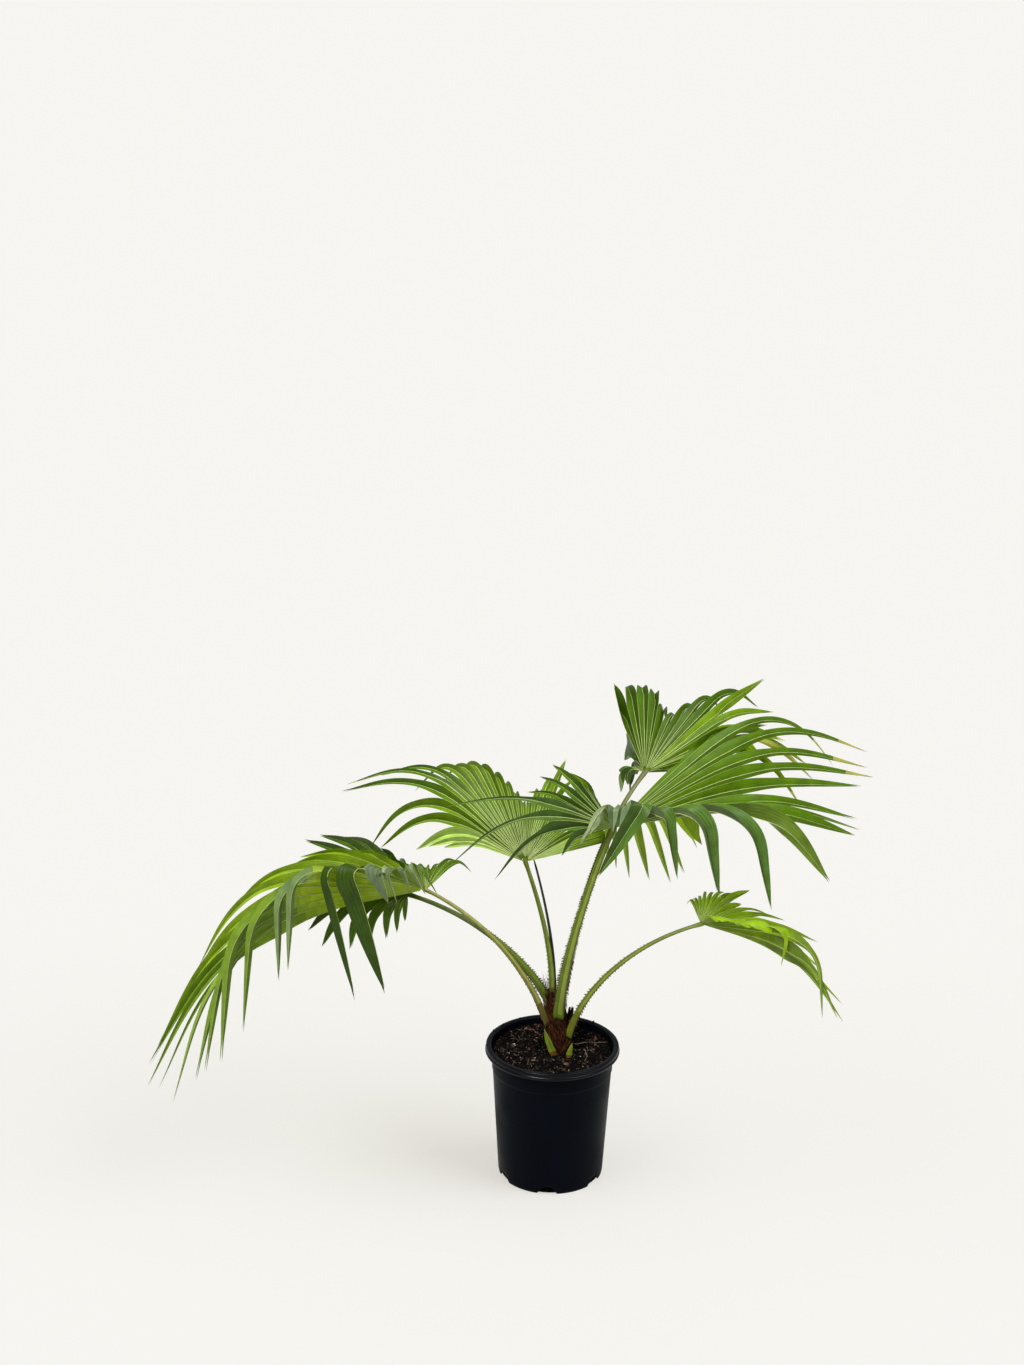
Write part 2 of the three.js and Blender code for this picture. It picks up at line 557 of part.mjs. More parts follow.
// The places along one line of the joined part of a fan, each with the way the line runs there.
function webLine(hub, axes, frond, turn, drop = 0) {
  const ray = makeRay(hub, axes, turn, guideAt(frond.guides, turn));
  const web = guideAt(frond.guides, turn).web;
  const places = [{ at: hub.clone(), face: axes.up, thickness: BLADE.thinnest }];
  for (let row = 1; row <= BLADE.rows; row++) {
    const t = (web * row) / BLADE.rows;
    const at = ray.at(t).addScaledVector(ray.faceAt(t), -drop * (row / BLADE.rows));
    places.push({ at, ahead: ray.aheadAt(t), thickness: thicknessOf(ray.reach) });
  }
  return { ray, web, places };
}

// Gives each place of a joined line its face, midway between the faces of the sheet on its two sides.
function turnFaces(line, left, right) {
  for (let row = 1; row <= BLADE.rows; row++) {
    const place = line.places[row];
    const before = lookOf(place.ahead, left.places[row], place);
    place.face = before.add(lookOf(place.ahead, place, right.places[row])).normalize();
  }
}

// The part of a segment beyond its neighbours: rows of three places, and the tip that closes it.
function freeRows(hub, axes, frond, index, turn, left, middle, right) {
  const width = left.places.at(-1).at.distanceTo(right.places.at(-1).at);
  const share = 1 + BLADE.uneven * (scatter(index, frond.seed) - 0.5);
  const ray = makeRay(hub, axes, turn, guideAt(frond.guides, turn), middle.ray.reach * share);
  const from = middle.web / share;
  const across = right.places.at(-1).at.clone().sub(left.places.at(-1).at).normalize();
  const joint = left.places.at(-1).at.clone().lerp(right.places.at(-1).at, 0.5);
  const shift = joint.sub(ray.at(from));
  const toLight = BLADE.facing * turnToLight(across, ray.aheadAt(from));
  const count = ray.reach > BLADE.short ? BLADE.freeRows : BLADE.shortRows;
  const rows = [];
  for (let k = 1; k < count; k++) {
    const x = k / count;
    const t = mix(from, 1, x);
    const breadth = mix(1, ray.breadth, smooth(x / BLADE.narrowing));
    const half = (width / 2) * breadth * (1 - x) * (1 + BLADE.open * x);
    const twist = toLight * smooth(x / BLADE.facingBy);
    const turned = (direction) => direction.applyAxisAngle(ray.aheadAt(t), twist);
    const side = turned(across.clone().applyAxisAngle(ray.hinge, ray.bend(t) - ray.bend(from)));
    const centre = ray.at(t).add(shift);
    const thickness = thicknessOf(ray.reach) * (1 - BLADE.tipThinning * x);
    const spread = [-half, 0, half].map((offset) => ({ at: centre.clone().addScaledVector(side, offset) }));
    const face = lookOf(ray.aheadAt(t), spread[0], spread[2]);
    spread[1].at.addScaledVector(turned(ray.faceAt(t)), -2 * half * BLADE.pleat);
    rows.push(spread.map(({ at }) => ({ at, face, thickness })));
  }
  return { rows, tip: ray.at(1).add(shift) };
}

// A run of neighbouring segments as one closed mesh, from the hub to their tips. Each place is two
// points, one on the upper face and one on the lower. A grown run is larger all round, to cut with.
function fanSolid(hub, axes, frond, [start, end], grow = 0) {
  const turns = edgeTurns(frond);
  const points = [];
  const triangles = [];
  const add = ({ at, face, thickness }) => {
    const half = thickness / 2 + grow;
    points.push(at.clone().addScaledVector(face, half), at.clone().addScaledVector(face, -half));
    return points.length - 2;
  };
  const lines = turns.map((turn) => webLine(hub, axes, frond, turn));
  const last = lines.length - 1;
  lines.forEach((line, i) => turnFaces(line, lines[Math.max(i - 1, 0)], lines[Math.min(i + 1, last)]));
  for (let index = start; index < end; index++) {
    const turn = (turns[index] + turns[index + 1]) / 2;
    const [left, right] = lines.slice(index, index + 2);
    const width = left.places.at(-1).at.distanceTo(right.places.at(-1).at);
    const middle = webLine(hub, axes, frond, turn, width * BLADE.pleat);
    turnFaces(middle, left, right);
    const free = freeRows(hub, axes, frond, index, turn, left, middle, right);
    const joined = left.places.map((place, row) => [place, middle.places[row], right.places[row]]);
    const rows = [...joined.slice(1), ...free.rows];
    rows.forEach(([a, , c], row) => {
      const outwards = c.at.clone().sub(a.at).normalize().multiplyScalar(grow);
      if (row >= BLADE.rows || index === start) a.at.sub(outwards);
      if (row >= BLADE.rows || index === end - 1) c.at.add(outwards);
    });

    const apex = add(left.places[0]);
    const cells = rows.map((row) => row.map(add));
    const tip = points.push(free.tip) - 1;
    const [first, final] = [cells[0], cells.at(-1)];
    for (const k of [0, 1]) {
      triangles.push(apex, first[k], first[k + 1], apex + 1, first[k + 1] + 1, first[k] + 1);
      triangles.push(final[k], tip, final[k + 1], final[k] + 1, final[k + 1] + 1, tip);
    }
    triangles.push(final[0] + 1, tip, final[0], final[2], tip, final[2] + 1);
    for (let row = 0; row < cells.length - 1; row++)
      for (const k of [0, 1]) {
        const [a, b, c, d] = [cells[row][k], cells[row + 1][k], cells[row + 1][k + 1], cells[row][k + 1]];
        triangles.push(a, b, c, a, c, d, a + 1, c + 1, b + 1, a + 1, d + 1, c + 1);
      }
    // Walls stand along the free part, and along the joined part at the two ends of the run.
    const wallFrom = (isEnd) => (isEnd ? 0 : BLADE.rows);
    const chain = (k) => [apex, ...cells.map((row) => row[k])];
    for (let row = wallFrom(index === start); row < cells.length; row++) {
      const [a, b] = chain(0).slice(row, row + 2);
      triangles.push(a, b + 1, b, a, a + 1, b + 1);
    }
    for (let row = wallFrom(index === end - 1); row < cells.length; row++) {
      const [a, b] = chain(2).slice(row, row + 2);
      triangles.push(a, b, b + 1, a, b + 1, a + 1);
    }
  }
  return solidOf(geometryOf(points, triangles));
}

// Where a stalk stops short of the hub, as a share of its curve. Past runs it on by that much.
const stalkEnd = (stalk, past = 0) => 1 - (HUB.back - past) / curveOf(stalk).getLength();

// The knob on which a fan sits: it runs on from the stalk and thins out under the blade.
function knobSolid(stalk, grow = 0) {
  const curve = curveOf(stalk);
  const [foot, hub] = [curve.getPoint(stalkEnd(stalk)), curve.getPoint(1)];
  const tip = hub.clone().addScaledVector(curve.getTangent(1), HUB.front);
  const path = [foot, foot.clone().lerp(hub, 0.5), hub, tip].map((place) => place.toArray());
  const radii = [stalk.radii[1] * HUB.swell, stalk.radii[1] * HUB.point];
  return limb({ path, radii }, { steps: 4, grow });
}

// A frond's solids: the fan with its knob, cut clear of the stalk, and its falling side if it folds over.
function frondSolids(name) {
  const stalk = STALKS[name];
  const frond = FRONDS[name];
  const hub = vector(stalk.path[3]);
  const axes = bladeAxes(frond.aim);
  const count = frond.count[0] + frond.count[1];
  const clear = limb(stalk, { grow: GAP, to: stalkEnd(stalk, GAP), from: HUB.close });
  const knob = knobSolid(stalk);
  if (frond.bend === undefined) {
    const whole = fanSolid(hub, axes, frond, [0, count]);
    return [largest(whole.add(knob).subtract(clear))];
  }

  const fold = edgeTurns(frond).findIndex((turn) => turn >= frond.bend);
  const [stays, falls] = frond.bend > 0 ? [[0, fold], [fold, count]] : [[fold, count], [0, fold]];
  const fan = fanSolid(hub, axes, frond, stays).add(knob).subtract(clear);
  const round = fanSolid(hub, axes, frond, stays, GAP).add(knobSolid(stalk, GAP)).add(clear);
  return [largest(fan), largest(fanSolid(hub, axes, frond, falls).subtract(round))];
}

// ---------------------------------------------------------------- assembly

const finish = (color, roughness) => new THREE.MeshStandardMaterial({ color, roughness, metalness: 0 });
const FINISH = {
  plastic: finish(0x14171c, 0.5),
  soil: finish(0x1d150f, 1),
  bark: finish(0x4a2c16, 0.95),
  stalk: finish(0x6d8f33, 0.55),
  spear: finish(0x1b1a14, 0.6),
  leaf: finish(0x3f7f26, 0.5),
};

const palm = new THREE.Group();
function place(name, solid, material) {
  const mesh = new THREE.Mesh(geometryOfSolid(solid), material);
  mesh.name = name;
  palm.add(mesh);
}

place("pot", potSolid(), FINISH.plastic);
place("soil", soilSolid(), FINISH.soil);
place("trunk", trunkSolid(), FINISH.bark);

const roundTrunk = trunkSolid(GAP);
for (const [name, stub] of Object.entries(STUBS)) {
  const material = name === "fibre_tuft" ? FINISH.bark : FINISH.stalk;
  const aboveSoil = limb(stub, { steps: 5 }).trimByPlane([0, 0, 1], SOIL.level + GAP);
  place(name, largest(aboveSoil.subtract(roundTrunk)), material);
}
place("spear", largest(limb(SPEAR, { sides: 6 }).subtract(roundTrunk)), FINISH.spear);
for (const [name, stalk] of Object.entries(STALKS)) {
  const petiole = limb(stalk, { to: stalkEnd(stalk) }).subtract(roundTrunk);
  place("petiole_" + name, largest(petiole), FINISH.stalk);
  const solids = frondSolids(name);
  solids.forEach((solid, i) => place("frond_" + name + (i ? "_fall" : ""), solid, FINISH.leaf));
}

export default palm;
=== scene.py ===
"""A young Chinese fan palm in a round black nursery pot.

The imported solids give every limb, fan and pot wall its place. This script grows the fine plant on them:
pleated blades with ribs and split tips, toothed leaf stalks, a fibrous trunk, potting mix and the pot.
Sizes of the plant are in millimetres, as its solids have them, and MM turns them into metres.
The front of the plant faces -Y, and +X is to its right.
"""

import math

import bmesh
import bpy
import numpy as np
from mathutils import Matrix, Vector


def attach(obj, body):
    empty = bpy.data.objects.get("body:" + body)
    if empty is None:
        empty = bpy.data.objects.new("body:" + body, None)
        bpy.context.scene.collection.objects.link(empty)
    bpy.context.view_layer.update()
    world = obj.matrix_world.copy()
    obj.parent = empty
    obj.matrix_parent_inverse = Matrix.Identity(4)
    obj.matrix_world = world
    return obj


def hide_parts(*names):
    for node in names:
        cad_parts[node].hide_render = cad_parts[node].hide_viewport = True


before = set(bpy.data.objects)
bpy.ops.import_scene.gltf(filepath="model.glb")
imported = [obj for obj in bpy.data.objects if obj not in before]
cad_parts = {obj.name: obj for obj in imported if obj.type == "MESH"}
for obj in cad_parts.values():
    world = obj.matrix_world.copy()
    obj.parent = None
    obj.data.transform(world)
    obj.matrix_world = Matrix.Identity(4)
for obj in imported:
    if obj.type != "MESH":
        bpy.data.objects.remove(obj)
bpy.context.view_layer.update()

MM = 0.001
TURN = 2 * math.pi

# ---------------------------------------------------------------- driving dimensions

GAP = 0.3  # clearance between solids

POT = {
    "height": 211,  # to the top of the rolled rim
    "foot": 79,  # outer radius at the ground
    "shoulder": 89.4,  # outer radius at the stacking shoulder
    "shoulder_height": 172,
    "neck": 91,  # outer radius under the rim
    "step": 1.6,  # rise of the sloping step from the shoulder to the neck
    "rim": 101,  # outer radius of the rim
    "rim_height": 11.5,
    "rim_round": 3,
    "lip": 2.8,  # how much the mouth opens out over the top of the rim's inside
    "wall": 2,
    "disc": 46,  # radius of the flat middle of the underside
    "channel": 13,  # height of the drain channel round that disc
    "slope": 4,  # run of the channel's inner wall
    "ring": 3,  # width of the foot ring outside the channel
}
POT_SIDES = 160
DRAIN = {"count": 6, "first": -4, "top": 12, "bottom": 31, "height": 12.4}
PAINTED_SHADE_WALL = {"inset": 4, "thick": 1, "lift": 1}  # a dark wall of painted shade that is seen through the drain notches
RIM_CRUMBS = [141, 157, 48, 118, 200, 262]  # turns round the rim where crumbs lie, in degrees

SOIL = {"level": 204, "seat": 46, "ease": 0.55, "ease_drop": 0.6, "edge_drop": 2, "sunk": 1.2}
SOIL_REACH = 88
# Where pale perlite and rust-coloured chips lie on the mix, beside those strewn at random.
PERLITE = [(-52, 61), (-57, 11), (-50, -17), (-79, 52), (-62, -32), (-26, -31), (-34, -49), (-25, -18)]
RUST_CHIPS = [(24, -57), (-4, -70), (-35, -7), (58, 33), (-54, 47), (52, 36), (62, 29), (20, -50)]

TRUNK = {
    "foot": [15, -6],
    "top": [-2, 5],
    "height": 89,
    "radii": [14.5, 15, 15.5, 15.8, 15.2, 14.2, 12.5],  # from the ground to the crown
    "lobes": 3,  # where old leaf bases swell it
    "lobe_size": 0.05,
    "lobe_shift": 2,
}

BLADE = {
    "uneven": 0.1,  # how much neighbouring segments differ in length
    "open": 1.3,  # how much a segment opens out once it is free of its neighbours
    "narrowing": 0.3,  # share of the free part over which a segment takes its own breadth
    "facing": 0.75,  # share of the way that a free segment turns its face to the light
    "facing_by": 0.45,  # share of the free part over which it turns
}
RAY_STEPS = 40
LIGHT = [0, -0.9, 0.42]  # the plant has grown towards light from the front
HUB = {"front": 7, "clear": 0.04}  # reach of a stalk's knob under the fan, and the share of a web it hides
LIMB = {"flat": 0.35, "taper": 1.5}  # how flat a stalk is above, and how it thins

# How finely the blades are made, beyond their solids.
WEB_ROWS = 12
FREE_STEP, FEWEST_ROWS = 8, 10  # length of a row along a leaflet, and how many rows it has at least
PLATE_COLUMNS = 3
PLEAT = 0.31  # depth of a segment's fold as a share of its width, drawn deeper than on the solids
CROWN = 0.045  # rise of each half of a segment, as a share of its width
WAVE = {"size": 0.16, "bends": (2, 5), "growth": 3}  # radians that a leaflet wavers about its own line
LEAN = 0.006  # how far a leaflet's tip leans aside, as a share of its length
SPLIT = (0.86, 0.97)  # where a leaflet's tip parts into two prongs, as a share of its free part
SPREAD = 0.2  # how far the prongs part, as a share of the half width at the split
PRONG_TAPER = 0.8
JOIN_BY = 0.2  # share of the free part over which its fold runs on from the web's
TIP_WIDTH = 0.14  # half width that is left at the very tip
BLEND_STEPS = 3  # in how many steps the web's tint gives way to a leaflet's own
BLEND_BY = 0.24  # share of a leaflet over which it does so
BLEND_BEND = (0.06, 0.3)  # shares of the fall between which it does so, if that comes sooner
PAINTED_HALF_SHADING = (0.66, 1.16)  # how dark each half of a segment is, beside its tint: painted shade on one half of the fold and painted light on the other
RIB = {"fold": 0.9, "edge": 0.65, "root": 0.35, "rise_by": 0.3}  # radii, and how they rise from the hub
LEAF_THROUGH = 0.22  # share of the light that a blade lets through

# Tints of the blades, as plain colours of the upper and the lower face.
# Some of them paint light and shade: bright and sunny are painted light, shaded is painted shade, and grey
# and teal
# are the leaflets' waxy bloom with a painted sheen on it. The lower faces are paler, partly in their own
# colour and
# partly with painted light that shines through the blade.
LEAF_TINTS = {
    "bright": ((0.17, 0.25, 0.003), (0.3, 0.41, 0.01)),
    "sunny": ((0.16, 0.25, 0.006), (0.27, 0.37, 0.02)),
    "lime": ((0.15, 0.25, 0.001), (0.26, 0.4, 0.002)),
    "fresh": ((0.1, 0.175, 0.002), (0.175, 0.27, 0.022)),
    "leafy": ((0.08, 0.145, 0.002), (0.15, 0.235, 0.018)),
    "mid": ((0.052, 0.106, 0.001), (0.11, 0.18, 0.014)),
    "shaded": ((0.036, 0.078, 0.001), (0.075, 0.13, 0.012)),
    "deep": ((0.03, 0.065, 0.002), (0.065, 0.11, 0.012)),
    "teal": ((0.045, 0.09, 0.012), (0.12, 0.18, 0.06)),
    "grey": ((0.13, 0.185, 0.085), (0.22, 0.28, 0.13)),
    "pale": ((0.24, 0.35, 0.06), (0.3, 0.4, 0.13)),
    "olive": ((0.22, 0.23, 0.03), (0.27, 0.27, 0.06)),
    "fading": ((0.28, 0.27, 0.06), (0.3, 0.28, 0.09)),
    "dry": ((0.26, 0.17, 0.07), (0.3, 0.2, 0.1)),
}
# Colours of the ribs and their streaks: the ribs' own pale green, made bright enough to paint the light that
# catches
# each fold as well.
RIB_TINTS = {
    "pale": ((0.48, 0.55, 0.2), (0.6, 0.66, 0.32)),
    "green": ((0.32, 0.4, 0.08), (0.46, 0.52, 0.2)),
    "dull": ((0.16, 0.22, 0.05), (0.25, 0.3, 0.1)),
}

# How each stalk looks: its colours, the shares of its length at which its brown foot, its margins and its
# teeth end, the size and spacing of its teeth, and the row at which its sheath ends.
# upper is a pale stripe of painted light along the top of a stalk, and under is painted shade on its
# underside.
STALK_LOOKS = {
    "left_front": {"colour": (0.09, 0.11, 0.012), "streak": (0.2, 0.2, 0.045), "upper": (0.26, 0.25, 0.06),
                   "under": (0.03, 0.03, 0.008), "foot": (0.09, 0.06, 0.015),
                   "brown": 0.1, "margin": 0.6, "margin_colour": (0.05, 0.026, 0.01), "teeth": 0.5,
                   "tooth": 3.2, "pitch": (5, 9), "sheath": 11},
    "left_rear": {"colour": (0.05, 0.085, 0.006), "streak": (0.12, 0.16, 0.02), "upper": (0.1, 0.15, 0.012),
                  "under": (0.018, 0.025, 0.005), "foot": (0.1, 0.12, 0.02),
                  "brown": 0.05, "margin": 0.7, "margin_colour": (0.045, 0.026, 0.01), "teeth": 0.6,
                  "tooth": 4.4, "pitch": (3.4, 5.2), "sheath": 11},
    "centre": {"colour": (0.065, 0.1, 0.008), "streak": (0.15, 0.19, 0.03), "upper": (0.13, 0.17, 0.022),
               "under": (0.03, 0.045, 0.006), "foot": (0.05, 0.06, 0.01),
               "brown": 0.08, "margin": 0.5, "margin_colour": (0.05, 0.028, 0.012), "teeth": 0.45,
               "tooth": 3.0, "pitch": (5, 8), "sheath": 9},
    "right_front": {"colour": (0.07, 0.12, 0.004), "streak": (0.13, 0.18, 0.012), "upper": (0.2, 0.23, 0.04),
                    "under": (0.02, 0.035, 0.003), "foot": (0.08, 0.14, 0.005),
                    "brown": 0.015, "margin": 0.8, "margin_colour": (0.075, 0.03, 0.01), "teeth": 0.75,
                    "tooth": 4.8, "pitch": (3.4, 4.8), "sheath": 12},
    "right_rear": {"colour": (0.06, 0.075, 0.012), "streak": (0.15, 0.16, 0.04),
                   "upper": (0.13, 0.145, 0.03), "under": (0.03, 0.028, 0.008), "foot": (0.07, 0.05, 0.014),
                   "brown": 0.06, "margin": 0.8, "margin_colour": (0.065, 0.03, 0.012), "teeth": 0.7,
                   "tooth": 4.2, "pitch": (3.2, 4.8), "sheath": 9},
    "right_low": {"colour": (0.075, 0.11, 0.008), "streak": (0.14, 0.18, 0.02), "upper": (0.17, 0.2, 0.025),
                  "under": (0.02, 0.025, 0.006), "foot": (0.12, 0.125, 0.008),
                  "brown": 0.16, "margin": 0.6, "margin_colour": (0.05, 0.03, 0.012), "teeth": 0.7,
                  "tooth": 3.8, "pitch": (4, 7), "sheath": 13},
}

FLOOR = {
    "reach": 60.0,
    "colour": (0.473, 0.498, 0.523),
    "glow": (0.555, 0.525, 0.47),  # light of its own, so that it stays pale and even
    "shade": 0.072,  # radius of the unlit spot under the pot
    # colour of that spot: a painted shadow, darker than the floor and without its glow
    "under": (0.1, 0.098, 0.095),
}
DOME = {
    "front": (-0.75, 0.1),  # from where it is dim to where it is bright, going back
    "overhead": (0.15, 0.6),  # and going up
    "dim": (0.12, 0.12, 0.125),
    "bright": (1.0, 1.0, 1.0),
    "strength": 0.36,
}
# Lamps: strength, angular size, heading and height in degrees, and what they light.
LAMPS = {
    "key_left": (3.4, 16, -125, 55, "plant"),
    "key_right": (1.7, 24, -30, 50, "plant"),
    "floor_right": (1.5, 50, -15, 42, "floor"),
    "floor_left": (0.6, 60, 195, 42, "floor"),
}
CAMERA = {"place": (-67.3, -3379, 1929.3), "pitch": 18.75, "roll": 0.70, "sensor": 36, "lens": 65.934}

# Leaf stalks: a curve from inside the trunk to the hub, given by its two ends and two handles.
STALKS = {
    "left_front": {
        "path": [[-8, -8, 246], [-44, -21, 361], [-120, -4, 425], [-190, 0, 459]],
        "radii": [4.8, 2.7],
    },
    "left_rear": {
        "path": [[-4, 0, 276], [-42, -4, 356], [-120, 4, 420], [-218, 18, 444]],
        "radii": [6.4, 3.3],
    },
    "centre": {"path": [[-3, 5, 280], [2, 14, 345], [-21, 38, 420], [-44, 60, 480]], "radii": [4.6, 3]},
    "right_front": {
        "path": [[7.6, -12, 259], [13, -34, 362], [45, -34, 478], [81, -30, 573]],
        "radii": [7.8, 4.7],
    },
    "right_rear": {
        "path": [[11, 9, 272], [28, 26, 374], [56, 60, 520], [133, 120, 602]],
        "radii": [5.2, 3.2],
    },
    "right_low": {
        "path": [[23, -13, 228], [40, -22, 314], [118, -16, 388], [215, -10, 414]],
        "radii": [5.2, 2.8],
    },
}

# Where the random draws of each kind of detail start.
SEEDS = {"roots": 21, "rim": 31, "net": 41, "stump": 43, "teeth": 50, "sheaths": 61, "fronds": 70}
SEEDS_APART = {"teeth": 37, "segments": 1000}  # so that no two stalks and no two segments share theirs

